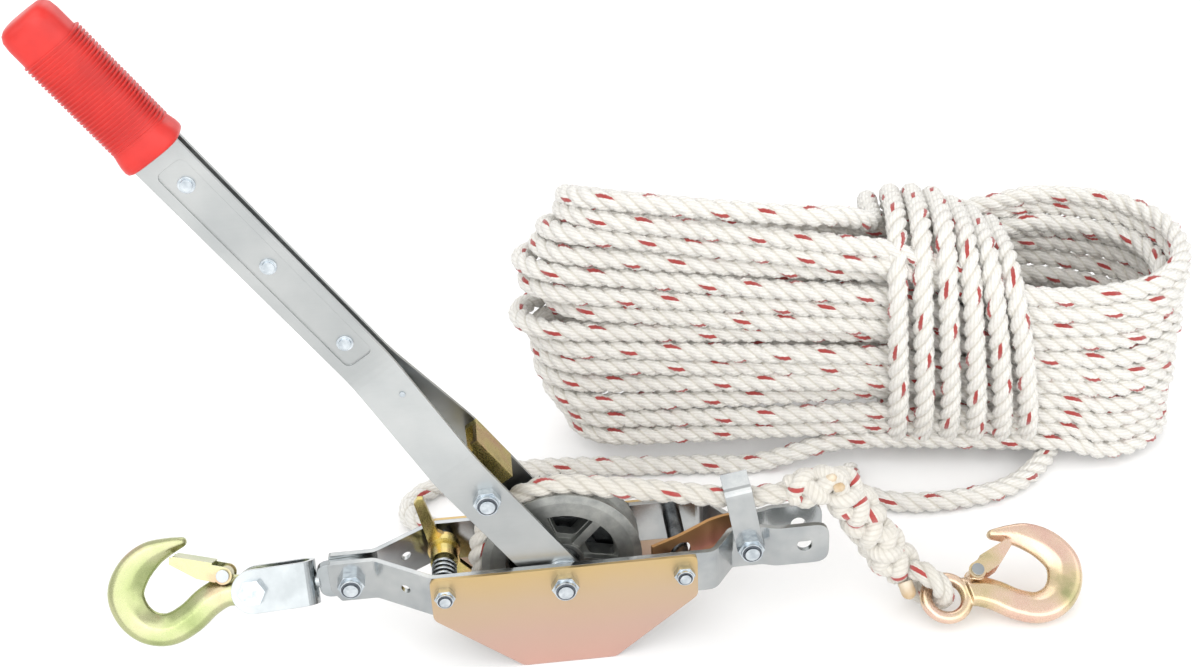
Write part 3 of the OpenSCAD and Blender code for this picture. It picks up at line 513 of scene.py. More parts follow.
@dataclass(frozen=True)
class MetalFinish(Finish):
    """Plated or bare metal with mottled colour, uneven gloss and a fine grain."""

    gloss_from: tuple[float, float] = (0.3, 0.7)
    cloud_mm: float = 18.0
    cloud_detail: float = 4.0
    grain_mm: float = 0.6
    grain_detail: float = 3.0
    grain_height: float = 0.03
    height_mm: float = 0.4
    metallic: float = 1.0


@dataclass(frozen=True)
class ChromateFinish(Finish):
    """Zinc plate with a yellow chromate film that drifts from gold to rose down the plate."""

    gloss: tuple[float, float] = (0.3, 0.42)
    cloud_mm: float = 45.0
    grain_mm: float = 0.8
    grain_height: float = 0.03
    height_mm: float = 0.3
    edge_mm: float = 0.3
    metallic: float = 0.85
    top_mm: float = 10.0
    bottom_mm: float = -55.0
    drift: float = 0.25

    def shift_of(self, tree: Tree, place: bpy.types.NodeSocket) -> Node:
        """What moves the colour along its stops: the depth below the top, and a cloud."""
        height = add(tree, "ShaderNodeSeparateXYZ", (place,)).outputs["Z"]
        top, low = (AXLE.z + at * MM for at in (self.top_mm, self.bottom_mm))
        depth = add(tree, RANGE, {"Value": height, "From Min": top, "From Max": low})
        cloud = super().shift_of(tree, place)
        feeds = (cloud, self.drift, -self.drift / 2)
        drift = add(tree, MATH, feeds, operation="MULTIPLY_ADD")
        return add(tree, MATH, (depth, drift), operation="ADD")


@dataclass(frozen=True)
class PlasticFinish(Finish):
    """Moulded or dipped plastic with faint clouding and a slight orange peel."""


@dataclass(frozen=True)
class RopeFinish:
    """Three-strand white polypropylene: yarn lines, painted shade in the grooves and between
    yarns, one red tracer yarn.

    The rope's UV map counts strands in U and metres along the rope in V. A yarn lies nearly
    along the rope, so it crosses its strand about once in a third of the lay.
    """

    name: str
    white: str = "#FBF9F4"
    # Colour of the painted shade in the grooves between strands and between the yarns.
    painted_shade: str = "#CCC6B8"
    shaded: str = "#F4F1E9"
    tracer: str = "#B23A34"
    crossings: float = 0.95
    # Yarns are drawn about 2.7 mm wide, coarser than the real ones, so that they show.
    yarns: float = 5.0
    # Strength of the painted shade in the valleys between the yarns.
    yarn_shade_strength: float = 0.45
    # Painted shade in the grooves: it starts this far from a strand's middle and is strongest at
    # the groove.
    groove_from: float = 0.36
    groove_shade_most: float = 0.7
    tracer_pitch_mm: float = 13.6
    tracer_half: float = 0.1
    tracer_wobble: float = 0.06
    tracer_inside: float = 0.45
    fuzz_scale: float = 900.0
    patch_scale: float = 14.0
    patch_span: tuple[float, float] = (0.3, 0.62)
    yarn_ledge: float = 0.2
    yarn_height: float = 0.5
    fuzz_height: float = 0.7
    bump: float = 0.6
    height_mm: float = 0.7
    roughness: float = 0.52
    sheen: float = 0.5

    def make(self) -> Material:
        """Builds the material."""
        material, tree, shader = shader_of(self.name)
        cross = self.crossings * 3 / (ROPE_LAY * MM)
        pitch = self.tracer_pitch_mm * MM
        uv = add(tree, "ShaderNodeUVMap", uv_map="rope")
        parts = add(tree, "ShaderNodeSeparateXYZ", (uv,))
        strand, run = parts.outputs["X"], parts.outputs["Y"]
        share = add(tree, MATH, (strand,), operation="FRACT")
        across = add(tree, MATH, (share, 0.5), operation="SUBTRACT")
        depth = add(tree, MATH, (across,), operation="ABSOLUTE")
        yarn = add(tree, MATH, (run, cross, across), operation="MULTIPLY_ADD")
        wave = add(tree, MATH, (yarn, 2 * math.pi * self.yarns), operation="MULTIPLY")
        ridge = add(tree, MATH, (wave,), operation="SINE")
        feeds = {"Vector": uv, "Scale": self.fuzz_scale, "Detail": 2.0, "Roughness": 0.6}
        fuzz = add(tree, NOISE, feeds)
        # Where the tracer yarn comes up on its strand, once in each pitch.
        turns = add(tree, MATH, (run, pitch), operation="DIVIDE")
        part = add(tree, MATH, (turns,), operation="FRACT")
        near = add(tree, MATH, (part, 0.5), operation="SUBTRACT")
        slip = add(tree, MATH, (near, pitch * cross, across), operation="MULTIPLY_ADD")
        feeds = (fuzz, self.tracer_wobble, -self.tracer_wobble / 2)
        wobble = add(tree, MATH, feeds, operation="MULTIPLY_ADD")
        stray = add(tree, MATH, (slip, wobble), operation="ADD")
        off = add(tree, MATH, (stray,), operation="ABSOLUTE")
        red = add(tree, MATH, (off, self.tracer_half), operation="LESS_THAN")
        for value, limit in ((strand, 1.0), (depth, self.tracer_inside)):
            below = add(tree, MATH, (value, limit), operation="LESS_THAN")
            red = add(tree, MATH, (red, below), operation="MULTIPLY")
        # Painted shade in the grooves: the colour darkens near each strand's edge, where the
        # grooves would lie in shade.
        ends = {"From Min": self.groove_from, "From Max": 0.5, "To Max": self.groove_shade_most}
        groove_shade = add(tree, RANGE, {"Value": depth, **ends}, interpolation_type="SMOOTHSTEP")
        # Painted shade between the yarns: the valleys of the yarn wave darken towards the shade
        # colour.
        valley = add(tree, MATH, (ridge, -1.0, -self.yarn_ledge), operation="MULTIPLY_ADD")
        low = add(tree, MATH, (valley, 0.0), operation="MAXIMUM")
        yarn_shade = add(tree, MATH, (low, self.yarn_shade_strength), operation="MULTIPLY")
        patch = add(tree, NOISE, {"Vector": uv, "Scale": self.patch_scale, "Detail": 3.0})
        lit = add(tree, RAMP, (patch,))
        ramp_stops(lit, tuple(zip(self.patch_span, (self.shaded, self.white))))
        colour = lit.outputs[0]
        # Painted shade in the grooves and between the yarns, then the tracer's own red.
        for amount, hue in ((groove_shade, self.painted_shade), (yarn_shade, self.painted_shade), (red, self.tracer)):
            feeds = {"Factor": amount, 6: colour, 7: linear(hue)}
            colour = add(tree, "ShaderNodeMix", feeds, data_type="RGBA").outputs[2]
        rough = add(tree, MATH, (fuzz, self.fuzz_height), operation="MULTIPLY")
        height = add(tree, MATH, (ridge, self.yarn_height, rough), operation="MULTIPLY_ADD")
        feeds = {"Height": height, "Strength": self.bump, "Distance": self.height_mm * MM}
        bump = add(tree, "ShaderNodeBump", feeds)
        tree.links.new(colour, shader.inputs["Base Color"])
        tree.links.new(bump.outputs[0], shader.inputs["Normal"])
        shader.inputs["Roughness"].default_value = self.roughness
        shader.inputs["Sheen Weight"].default_value = self.sheen
        return material


# Bright zinc plate, polished sheet: a clear bluish white that mirrors softly.
BRIGHT_ZINC = MetalFinish(
    "bright_zinc_plate", ((0.3, "#9FA3A5"), (0.7, "#BABCBB")), (0.16, 0.27), edge_mm=0.4
)
# The same plate on the turned and bent clevis: fresh, nearly white.
FRESH_ZINC = MetalFinish(
    "fresh_zinc_plate", ((0.3, "#A0A5A7"), (0.7, "#B6BBBD")), (0.14, 0.24), edge_mm=0.4
)
# Zinc plate over brushed sheet: a duller grey with faint streaks along the lever.
SATIN_ZINC = MetalFinish(
    "satin_zinc_plate",
    ((0.3, "#A7AAAA"), (0.7, "#B8BAB9")),
    (0.3, 0.42),
    cloud_mm=40,
    grain_mm=1.2,
    grain_height=0.05,
    stretch=(0.12, 1.0, 1.0),
    tilt=(0, LEVER_LEAN, 0),
    edge_mm=0.4,
)
# Zinc-plated fasteners: bright, with small worn spots.
BOLT_ZINC = MetalFinish(
    "fastener_zinc", ((0.3, "#A5AEB5"), (0.7, "#D7DDE1")), (0.14, 0.26), cloud_mm=4, edge_mm=0.35
)
# Die-cast alloy, lightly blasted: matte grey with a sandy grain.
CAST_ALLOY = MetalFinish(
    "die_cast_alloy",
    ((0.3, "#8B8D8B"), (0.7, "#A7A8A4")),
    (0.42, 0.6),
    cloud_mm=6,
    grain_mm=0.5,
    grain_height=0.3,
    edge_mm=0.4,
)
# Turned mild steel, oiled and left bare: dark, with patches of polish.
DARK_STEEL = MetalFinish(
    "turned_mild_steel", ((0.3, "#4A4C4E"), (0.7, "#6E7173")), (0.22, 0.4), cloud_mm=5
)
# Punched and hardened steel of the ratchet: a grey black, slightly oily.
RATCHET_STEEL = MetalFinish(
    "hardened_ratchet_steel",
    ((0.3, "#45474A"), (0.7, "#717577")),
    (0.25, 0.42),
    cloud_mm=7,
    grain_height=0.1,
    edge_mm=0.3,
)
# Sintered bronze of the bush: porous and dull.
BRONZE = MetalFinish("sintered_bronze", ((0.3, "#8A6238"), (0.7, "#AD8452")), (0.35, 0.5))
# Drawn spring wire under clear zinc: grey and bright.
SPRING_WIRE = MetalFinish(
    "spring_wire", ((0.3, "#8B9093"), (0.7, "#C3C8CB")), (0.18, 0.3), cloud_mm=3
)
# Yellow chromate on pressed steel pawls: olive gold with rainbow patches.
PAWL_CHROMATE = MetalFinish(
    "pawl_yellow_chromate",
    ((0.25, "#A0945F"), (0.5, "#C8B877"), (0.75, "#C79F7E")),
    (0.2, 0.34),
    cloud_mm=13,
    edge_mm=0.3,
)
# Yellow chromate on the drop-forged anchor hook: pale green gold with a rose cast in places.
HOOK_CHROMATE = MetalFinish(
    "forged_yellow_chromate",
    ((0.3, "#83905D"), (0.45, "#A6AE7D"), (0.6, "#B5B58E"), (0.75, "#B7977F")),
    (0.2, 0.32),
    cloud_mm=34,
    grain_mm=1.0,
    grain_height=0.06,
)
# The same film on the rope's hook, thicker: rose gold with greenish edges.
RING_CHROMATE = MetalFinish(
    "forged_rose_chromate",
    ((0.28, "#A9A67A"), (0.4, "#D3C09A"), (0.55, "#E2C6B0"), (0.75, "#DBB1A6")),
    (0.2, 0.32),
    cloud_mm=26,
    grain_mm=1.0,
    grain_height=0.06,
)
# Yellow chromate on flat guard sheet: gold at the top edge, rose towards the foot.
GUARD_CHROMATE = ChromateFinish(
    "guard_yellow_chromate",
    ((0.0, "#C4AA79"), (0.3, "#C1AA8E"), (0.65, "#C5A899"), (1.0, "#CCA89C")),
)
# The same film on the slanted guide plate, browner.
GUIDE_CHROMATE = ChromateFinish(
    "guide_yellow_chromate",
    ((0.0, "#B68C5C"), (0.5, "#B37463"), (1.0, "#A18C55")),
    top_mm=12,
    bottom_mm=-20,
)
# Dipped vinyl of the grip: saturated red, soft gloss.
RED_VINYL = PlasticFinish("dipped_red_vinyl", ((0.3, "#C21D16"), (0.7, "#D3281F")), (0.28, 0.4))
# Nylon ring inside a locking nut: dark blue-grey and waxy.
NYLON = PlasticFinish("nylon_insert", ((0.3, "#3B4048"), (0.7, "#555B63")), (0.4, 0.55))
# Rope ends fused by heat: amber and glassy.
FUSED_ROPE = PlasticFinish(
    "fused_rope_end",
    ((0.3, "#B99A6E"), (0.7, "#E9E2D2")),
    (0.25, 0.4),
    grain_mm=2.0,
    grain_height=0.3,
)
# White polypropylene rope with a red tracer: bright, silky filaments.
ROPE = RopeFinish("laid_polypropylene")
# The same rope, painted greyer where it runs loaded: painted shade for the light it catches.
SHADED_LOAD_ROPE = RopeFinish(
    "shaded_load_polypropylene", white="#E3DFD6", painted_shade="#BAB3A5", shaded="#DAD5CA"
)


# ---- Forged hooks ----

MELT_GRAIN = 0.55
MELT_PASSES = 5


def fuse(name: str, parts: Sequence[Shell], place: Matrix, material: Material) -> Piece:
    """Melts overlapping closed shells into one skin, as a forging's parts blend.

    Args:
        name: The piece's name.
        parts: The shells, in millimetres, in the piece's own frame.
        place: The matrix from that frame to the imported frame.
        material: The piece's finish.

    Returns:
        The piece.
    """
    holder = mesh_object(name, *join_parts(parts), Matrix.Identity(4))
    melt = holder.modifiers.new("melt", "REMESH")
    melt.mode = "VOXEL"
    melt.voxel_size = MELT_GRAIN
    mesh = evaluated(holder, melt)
    mend(mesh, passes=MELT_PASSES)
    mesh.transform(place)
    mend(mesh)
    holder.data = mesh
    return coat(holder, material)


class EyeKind(Enum):
    """What a hook ends in."""

    PLAIN = "a flat eye for a bolt"
    RING = "a round-wire ring for the rope"


@dataclass
class ForgedHook:
    """A drop-forged slip hook with a flat face, a soft outer edge and a bevelled bowl."""

    name: str
    eye: EyeKind
    lug_at: tuple[float, float]
    half_thick: float = 6.0
    lug_radius: float = 4.2
    lug_bore: float = 0.6
    eye_radius: float = 11.0
    bolt_radius: float = 4.05
    ring_mid: float = 11.5
    ring_wire: float = 3.5
    bar_stop: float = 12.0
    # The tip is thinner, over this length, and is closed by smaller and smaller outlines.
    tip_share: float = 0.62
    tip_length: float = 16.0
    tip_leads: tuple[float, ...] = (1.0, 0.87, 0.5)
    tip_blunt: float = 0.97
    rim: tuple[float, float] = (1.2, 1.6)
    disc_sides: int = 64
    ring_sides: int = 96
    wire_sides: int = 28
    # The middle line from tip to shank, with half the width at each point.
    line: tuple[Point, ...] = (
        (-38.5, 29, 3.0), (-46.5, 27, 5.2), (-56.5, 23, 8), (-65.5, 15, 9.6), (-70.6, 3.5, 10),
        (-67.5, -8, 9.7), (-59.5, -15.8, 9.3), (-48.5, -17.8, 9), (-37, -12.8, 8.9),
        (-26.5, -4.4, 8.8), (-16, 0.5, 8.6), (-6, 0, 8.6),
    )  # fmt: skip
    # Half of the section from its outer edge to the bowl: shares of half width and thickness.
    section: tuple[tuple[float, float], ...] = (
        (-1.0, 0.0), (-0.97, 0.45), (-0.84, 0.82), (-0.62, 0.99), (-0.3, 1.0), (0.0, 0.99),
        (0.2, 0.96), (0.42, 0.8), (0.68, 0.55), (0.9, 0.3), (1.0, 0.0),
    )  # fmt: skip

    def bar(self) -> Shell:
        """The bent bar, swept along its middle line with a rounded tip."""
        curve = smooth_path(self.line, steps=6)
        if self.eye is EyeKind.RING:
            curve = curve[np.hypot(curve[:, 0], curve[:, 1]) > self.bar_stop]
        flat = curve[:, :2]
        t = unit(np.gradient(flat, axis=0))
        inward = np.c_[-t[:, 1], t[:, 0]]
        taper = self.tip_share + (1 - self.tip_share) * length_along(flat) / self.tip_length
        thick = self.half_thick * np.clip(taper, self.tip_share, 1.0)
        shares = list(self.section) + [(u, -v) for u, v in self.section[-2:0:-1]]
        tip = self.line[0][2]
        rows = []
        for lead in self.tip_leads:
            size = math.sqrt(1 - self.tip_blunt * lead**2)
            rows.append((flat[0] - t[0] * tip * lead, inward[0], tip * size, thick[0] * size))
        rows += zip(flat, inward, curve[:, 2], thick)
        verts = []
        for centre, side, wide, deep in rows:
            for u, v in shares:
                x, z = centre + side * u * wide
                verts.append((x, v * deep, z))
        return np.array(verts), ring_faces(len(rows), len(shares))

    def disc(self, x: float, z: float, radius: float, bore: float) -> Shell:
        """A thick washer across the hook, rounded at its rim.

        Args:
            x: Its middle along the hook.
            z: Its middle across the hook.
            radius: Outside radius.
            bore: Radius of its hole.

        Returns:
            The points and the faces.
        """
        h, (flat, deep) = self.half_thick, self.rim
        edge = [(bore, -h), (radius - flat, -h), (radius, -h + deep)]
        edge += [(r, -y) for r, y in reversed(edge)]
        verts, faces = lathe(edge, self.disc_sides)
        return np.c_[verts[:, 0] + x, verts[:, 2], verts[:, 1] + z], faces

    def ring(self) -> Shell:
        """The round-wire ring."""
        mid, wire = self.ring_mid, self.ring_wire
        a = np.linspace(0, 2 * math.pi, self.wire_sides, endpoint=False)
        section = [(mid + wire * math.cos(t), wire * math.sin(t)) for t in a]
        verts, faces = lathe(section, self.ring_sides)
        return verts[:, (0, 2, 1)], faces

    def build(self, place: Matrix, material: Material) -> Piece:
        """Melts the parts together and dresses them.

        Args:
            place: The matrix from the hook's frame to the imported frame.
            material: Its finish.

        Returns:
            The hook.
        """
        parts = [self.bar(), self.disc(*self.lug_at, self.lug_radius, self.lug_bore)]
        if self.eye is EyeKind.PLAIN:
            parts.append(self.disc(0, 0, self.eye_radius, self.bolt_radius))
        else:
            parts.append(self.ring())
        hook = fuse(self.name, parts, place, material)
        log.info("%s ends in %s: %d faces", self.name, self.eye.value, len(hook.data.polygons))
        return hook


# ---- Grip ----


@dataclass
class DippedGrip:
    """The red grip: a flared collar, a field of thin ribs and a plain rounded end."""

    middle: float = -2.2
    power: float = 3.2
    sides: int = 72
    ribs: int = 29
    rib_from: float = 320.5
    rib_pitch: float = 1.95
    rib_thick: float = 0.75
    rib_half: tuple[float, float] = (15.0, 11.25)
    crest: float = 1.7
    crest_from: float = 0.8
    crest_steep: float = 5.0
    # Places along the lever, each with half the height and half the width.
    stations: tuple[Point, ...] = (
        (310.0, 13.5, 10.0), (310.15, 15.2, 11.4), (310.8, 16.1, 12.2), (312.2, 16.5, 12.5),
        (315.0, 16.3, 12.4), (318.0, 15.7, 11.9), (321.0, 14.9, 11.2), (325.0, 14.35, 10.7),
        (332.0, 14.25, 10.5), (350.0, 14.25, 10.5), (376.0, 14.25, 10.5), (386.0, 14.15, 10.4),
        (390.0, 13.6, 9.9), (392.4, 12.2, 8.6), (393.6, 10.2, 6.8), (394.0, 7.2, 4.2),
    )  # fmt: skip

    def body(self, material: Material) -> Piece:
        """The dipped sleeve without its ribs."""
        a = np.linspace(0, 2 * math.pi, self.sides, endpoint=False)
        c, s = np.cos(a), np.sin(a)
        r = (np.abs(c) ** self.power + np.abs(s) ** self.power) ** (-1 / self.power)
        verts = np.vstack([
            np.c_[np.full(self.sides, x), s * r * wide, self.middle + c * r * tall]
            for x, tall, wide in self.stations
        ])
        faces = ring_faces(len(self.stations), self.sides)
        return coat(mesh_object("grip_sleeve", verts, faces, HANDLE), material)

    def fins(self, material: Material) -> Piece:
        """The ribs across the grip, taller where they cross its upper edge."""
        sizes = {
            "Pitch": self.rib_pitch,
            "Thick": self.rib_thick,
            "Half height": self.rib_half[0],
            "Half width": self.rib_half[1],
            "Power": self.power,
            "Crest": self.crest,
        }
        rows = {label: (Socket.NUMBER, size) for label, size in sizes.items()}
        tree = ShapeTree("grip_ribs", {"Ribs": (Socket.COUNT, self.ribs), **rows}, self.fin_tree)
        place = HANDLE @ shift(self.rib_from, 0, self.middle) @ turn("Y", 90)
        return tree.run("grip_ribs", place, material)

    def fin_tree(self, tree: Tree, source: Node) -> Node:
        """Nodes of one oval rib, repeated along the grip.

        Args:
            tree: The node tree.
            source: The tree's inputs.

        Returns:
            The node that gives the ribs.
        """
        feed = source.outputs
        feeds = {"Vertices": self.sides, "Radius": 1.0}
        ring = add(tree, "GeometryNodeMeshCircle", feeds, fill_type="NGON")
        at = add(tree, "GeometryNodeInputPosition")
        x, y = add(tree, "ShaderNodeSeparateXYZ", (at,)).outputs[:2]
        powers = []
        for axis in (x, y):
            size = add(tree, MATH, (axis,), operation="ABSOLUTE")
            powers.append(add(tree, MATH, (size, feed["Power"]), operation="POWER"))
        total = add(tree, MATH, powers, operation="ADD")
        root = add(tree, MATH, (-1.0, feed["Power"]), operation="DIVIDE")
        bulge = add(tree, MATH, (total, root), operation="POWER")
        # The tree's X runs down the grip's height, so the upper edge is at -X.
        upper = add(tree, MATH, (x, -1.0, -self.crest_from), operation="MULTIPLY_ADD")
        edge = add(tree, MATH, (upper, 0.0), operation="MAXIMUM")
        top = add(tree, MATH, (edge, self.crest_steep), operation="MULTIPLY")
        feeds = (top, feed["Crest"], feed["Half height"])
        tall = add(tree, MATH, feeds, operation="MULTIPLY_ADD")
        sides = []
        for axis, half in ((x, tall), (y, feed["Half width"])):
            side = add(tree, MATH, (axis, bulge), operation="MULTIPLY")
            sides.append(add(tree, MATH, (side, half), operation="MULTIPLY"))
        oval = add(tree, "ShaderNodeCombineXYZ", sides)
        shaped = add(tree, "GeometryNodeSetPosition", {"Geometry": ring, "Position": oval})
        feeds = {"Mesh": shaped, "Offset": (0.0, 0.0, 1.0), "Offset Scale": feed["Thick"]}
        plate = add(tree, "GeometryNodeExtrudeMesh", {**feeds, "Individual": False})
        back = add(tree, "GeometryNodeFlipFaces", {"Mesh": shaped})
        whole = add(tree, "GeometryNodeJoinGeometry")
        for shell in (plate, back):
            tree.links.new(shell.outputs[0], whole.inputs[0])
        step = add(tree, "ShaderNodeCombineXYZ", {"Z": feed["Pitch"]})
        row = add(tree, "GeometryNodeMeshLine", {"Count": feed["Ribs"], "Offset": step})
        return add(tree, "GeometryNodeInstanceOnPoints", {"Points": row, "Instance": whole})

    def dress(self, material: Material) -> None:
        """Builds the grip and hangs it on the handle."""
        body, ribs = self.body(material), self.fins(material)
        for piece in (body, ribs):
            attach(piece, "handle")
        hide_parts("handle_grip")
        log.info("grip with %d ribs", self.ribs)


# ---- Springs and nut rings ----


@dataclass
class CoilSpring:
    """A helical wire spring, with or without a loop at each end."""

    name: str
    radius: float
    wire: float
    turns: float
    long: float
    loop: float = 0.0
    turn_sides: int = 20
    wire_sides: int = 10

    def tree(self, tree: Tree, source: Node) -> Node:
        """Nodes that wind the wire along Z from the origin.

        Args:
            tree: The node tree.
            source: The tree's inputs.

        Returns:
            The node that gives the wire.
        """
        feed = source.outputs
        both = add(tree, "GeometryNodeJoinGeometry")
        feeds = {"Start Radius": feed["Radius"], "End Radius": feed["Radius"]}
        feeds.update({"Rotations": feed["Turns"], "Height": feed["Long"]})
        feeds["Resolution"] = self.turn_sides
        parts = [add(tree, "GeometryNodeCurveSpiral", feeds)]
        quarter = math.pi / 2
        for z, twist in ((-self.loop, 0.0), (self.long + self.loop, quarter)):
            if self.loop:
                eye = add(tree, CIRCLE, {"Resolution": self.turn_sides, "Radius": self.loop})
                feeds = {"Translation": (0.0, 0.0, z), "Rotation": (quarter, 0.0, twist)}
                parts.append(add(tree, "GeometryNodeTransform", {"Geometry": eye, **feeds}))
        for part in parts:
            tree.links.new(part.outputs[0], both.inputs[0])
        wire = add(tree, CIRCLE, {"Resolution": self.wire_sides, "Radius": feed["Wire"]})
        feeds = {"Curve": both, "Profile Curve": wire, "Fill Caps": True}
        return add(tree, "GeometryNodeCurveToMesh", feeds)

    def build(self, place: Matrix, material: Material) -> Piece:
        """Winds the spring.

        Args:
            place: The matrix from the spring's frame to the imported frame.
            material: Its finish.

        Returns:
            The spring.
        """
        sizes = {"Turns": self.turns, "Radius": self.radius, "Long": self.long}
        sizes["Wire"] = self.wire / 2
        rows = {label: (Socket.NUMBER, size) for label, size in sizes.items()}
        return ShapeTree(self.name, rows, self.tree).run(self.name, place, material)


@dataclass
class Springs:
    """The drive pawl's pull spring and the holding pawl's coil."""

    pull_from: Point = (86.1, -6.75, 4.0)
    pull_to: Point = (138.5, -1.5, 3.0)
    pull_radius: float = 2.75
    pull_wire: float = 1.0
    pull_pitch: float = 1.25
    pull_loop: float = 2.6
    hold_at: float = -64.5
    hold_from: float = -20.0
    hold_to: float = -1.6
    hold_radius: float = 6.1
    hold_wire: float = 1.8
    hold_turns: float = 5.0

    def dress(self, material: Material) -> None:
        """Builds both springs, and hangs the holding coil on the frame."""
        a, b = Vector(self.pull_from), Vector(self.pull_to)
        long = (b - a).length - 4 * self.pull_loop
        aim = (b - a).normalized()
        foot = Matrix.Translation(a + aim * 2 * self.pull_loop)
        place = HANDLE @ foot @ aim.to_track_quat("Z", "Y").to_matrix().to_4x4()
        turns = round(long / self.pull_pitch)
        sizes = (self.pull_radius, self.pull_wire, turns, long, self.pull_loop)
        pull = CoilSpring("drive_pawl_pull_spring", *sizes).build(place, material)
        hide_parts("drive_pawl_spring")
        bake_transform(pull)
        place = FRAME @ shift(self.hold_at, self.hold_from, 0) @ turn("X", -90)
        sizes = (self.hold_radius, self.hold_wire, self.hold_turns, self.hold_to - self.hold_from)
        hold = CoilSpring("holding_pawl_coil", *sizes).build(place, material)
        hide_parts("holding_pawl_spring")
        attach(hold, "frame")
        log.info("springs: %.0f mm pull spring and holding coil", long)


@dataclass
class NutRings:
    """The nylon ring that shows round the bolt in the face of every locking nut."""

    spread: float = 1.19
    edge: float = 0.13
    ring_sides: int = 40
    edge_sides: int = 10

    def tree(self, tree: Tree, source: Node) -> Node:
        """Nodes that put a rounded ring on each seat, sized by the bolt there.

        Args:
            tree: The node tree.
            source: The tree's inputs.

        Returns:
            The node that gives the rings.
        """
        feed = source.outputs
        bolt = add(tree, "GeometryNodeInputNamedAttribute", {"Name": "size"}, data_type="FLOAT")
        path = add(tree, CIRCLE, {"Resolution": self.ring_sides, "Radius": feed["Spread"]})
        edge = add(tree, CIRCLE, {"Resolution": self.edge_sides, "Radius": feed["Edge"]})
        ring = add(tree, "GeometryNodeCurveToMesh", {"Curve": path, "Profile Curve": edge})
        feeds = {"Points": feed["Geometry"], "Instance": ring, "Scale": bolt}
        feeds["Rotation"] = (math.pi / 2, 0.0, 0.0)
        return add(tree, "GeometryNodeInstanceOnPoints", feeds)

    def build(
        self,
        body: str,
        nuts: Sequence[tuple[str, float, Optional[float]]],
        material: Material,
    ) -> None:
        """Makes one body's rings.

        Args:
            body: The body that the nuts are on.
            nuts: The nut's node, its bolt's radius, and its place along X where a node holds two.
            material: The rings' finish.
        """
        seats = []
        for node, radius, x in nuts:
            low, high = (Vector(v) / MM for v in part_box(node))
            middle = (low + high) / 2
            across = middle.x if x is None else AXLE.x / MM + x
            seats.append((across, low.y, middle.z, radius))
        rows = {"Spread": (Socket.NUMBER, self.spread), "Edge": (Socket.NUMBER, self.edge)}
        tree = ShapeTree("nut_rings", rows, self.tree, seats)
        rings = tree.run(f"{body}_nut_rings", Matrix.Scale(MM, 4), material)
        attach(rings, body)
        log.info("%d nut rings on %s", len(seats), body)


# ---- Rope ----

WHEEL_R = 45.0
WHEEL_STEP = 4.0
WRAP_TOP = 80.0
WRAP_LOW = 262.0
TAIL_FROM = 256.0
# Where the faces that close a rope's ends lie in its map: in the middle of a plain strand.
CAP_UV = (1.5, 0.0)


def rope_piece(name: str, shell: Shell, uv: np.ndarray, material: Material) -> Piece:
    """Makes a piece of rope with the UV map that its finish reads.

    Args:
        name: The piece's name.
        shell: Points in millimetres from the axle, and faces.
        uv: The map's place of each face corner.
        material: The rope's finish.

    Returns:
        The piece.
    """
    verts, faces = shell
    mesh = bpy.data.meshes.new(name)
    mesh.from_pydata(verts.tolist(), [], faces)
    mesh.uv_layers.new(name="rope").data.foreach_set("uv", uv.ravel())
    mesh.transform(FRAME)
    return coat(link(name, mesh), material)


@dataclass
class LaidRope:
    """Three strands twisted right-handed, drawn as one grooved skin along a path."""

    strands: int = 3
    per_strand: int = 6
    # A strand's middle and radius, as shares of the rope's radius.
    strand_mid: float = 0.4
    strand_half: float = 0.6
    swell: float = 1.0
    # Shares of the radius at the first and last points, at a cut end.
    tip: tuple[float, ...] = ()

    def skin(self, name: str, path: np.ndarray, material: Material) -> Piece:
        """Sweeps the strand profile along the path.

        Args:
            name: The piece's name.
            path: Ring centres, in millimetres from the axle.
            material: The rope's finish.

        Returns:
            The rope.
        """
        _, n, b = path_frames(path)
        s = length_along(path)
        sides, count = self.strands * self.per_strand, len(path)
        k = np.arange(sides)
        psi = np.radians((k % self.per_strand / self.per_strand - 0.5) * 360 / self.strands)
        chord = np.sqrt(self.strand_half**2 - (self.strand_mid * np.sin(psi)) ** 2)
        r = ROPE_R * (self.strand_mid * np.cos(psi) + chord)
        scale = np.full(count, self.swell)
        for i, share in enumerate(self.tip):
            scale[[i, -1 - i]] *= share
        angle = np.radians(k / sides * 360)[None] + 2 * math.pi * (s / ROPE_LAY)[:, None]
        out = np.cos(angle)[..., None] * n[:, None] + np.sin(angle)[..., None] * b[:, None]
        verts = path[:, None] + scale[:, None, None] * r[None, :, None] * out
        grid = np.arange(count * sides).reshape(count, sides)
        nxt = np.roll(grid, -1, axis=1)
        quads = np.stack([grid[:-1], nxt[:-1], nxt[1:], grid[1:]], axis=-1).reshape(-1, 4)
        faces = [*quads.tolist(), grid[0, ::-1].tolist(), grid[-1].tolist()]
        u = np.tile(k / self.per_strand, count - 1)
        low, high = (np.repeat(part * MM, sides) for part in (s[:-1], s[1:]))
        corners = ((0, low), (1, low), (1, high), (0, high))
        uv = np.stack([np.c_[u + step / self.per_strand, v] for step, v in corners], 1)
        uv = np.vstack([uv.reshape(-1, 2), np.full((2 * sides, 2), CAP_UV)])
        return rope_piece(name, (verts.reshape(-1, 3), faces), uv, material)


def wheel_run(first: float, last: float) -> list[Point]:
    """Points of the rope's middle on the wheel, between two angles in degrees."""
    count = int(abs(last - first) / WHEEL_STEP)
    angles = [math.radians(first + (last - first) * k / count) for k in range(count + 1)]
    return [(WHEEL_R * math.cos(a), 0.0, WHEEL_R * math.sin(a)) for a in angles]
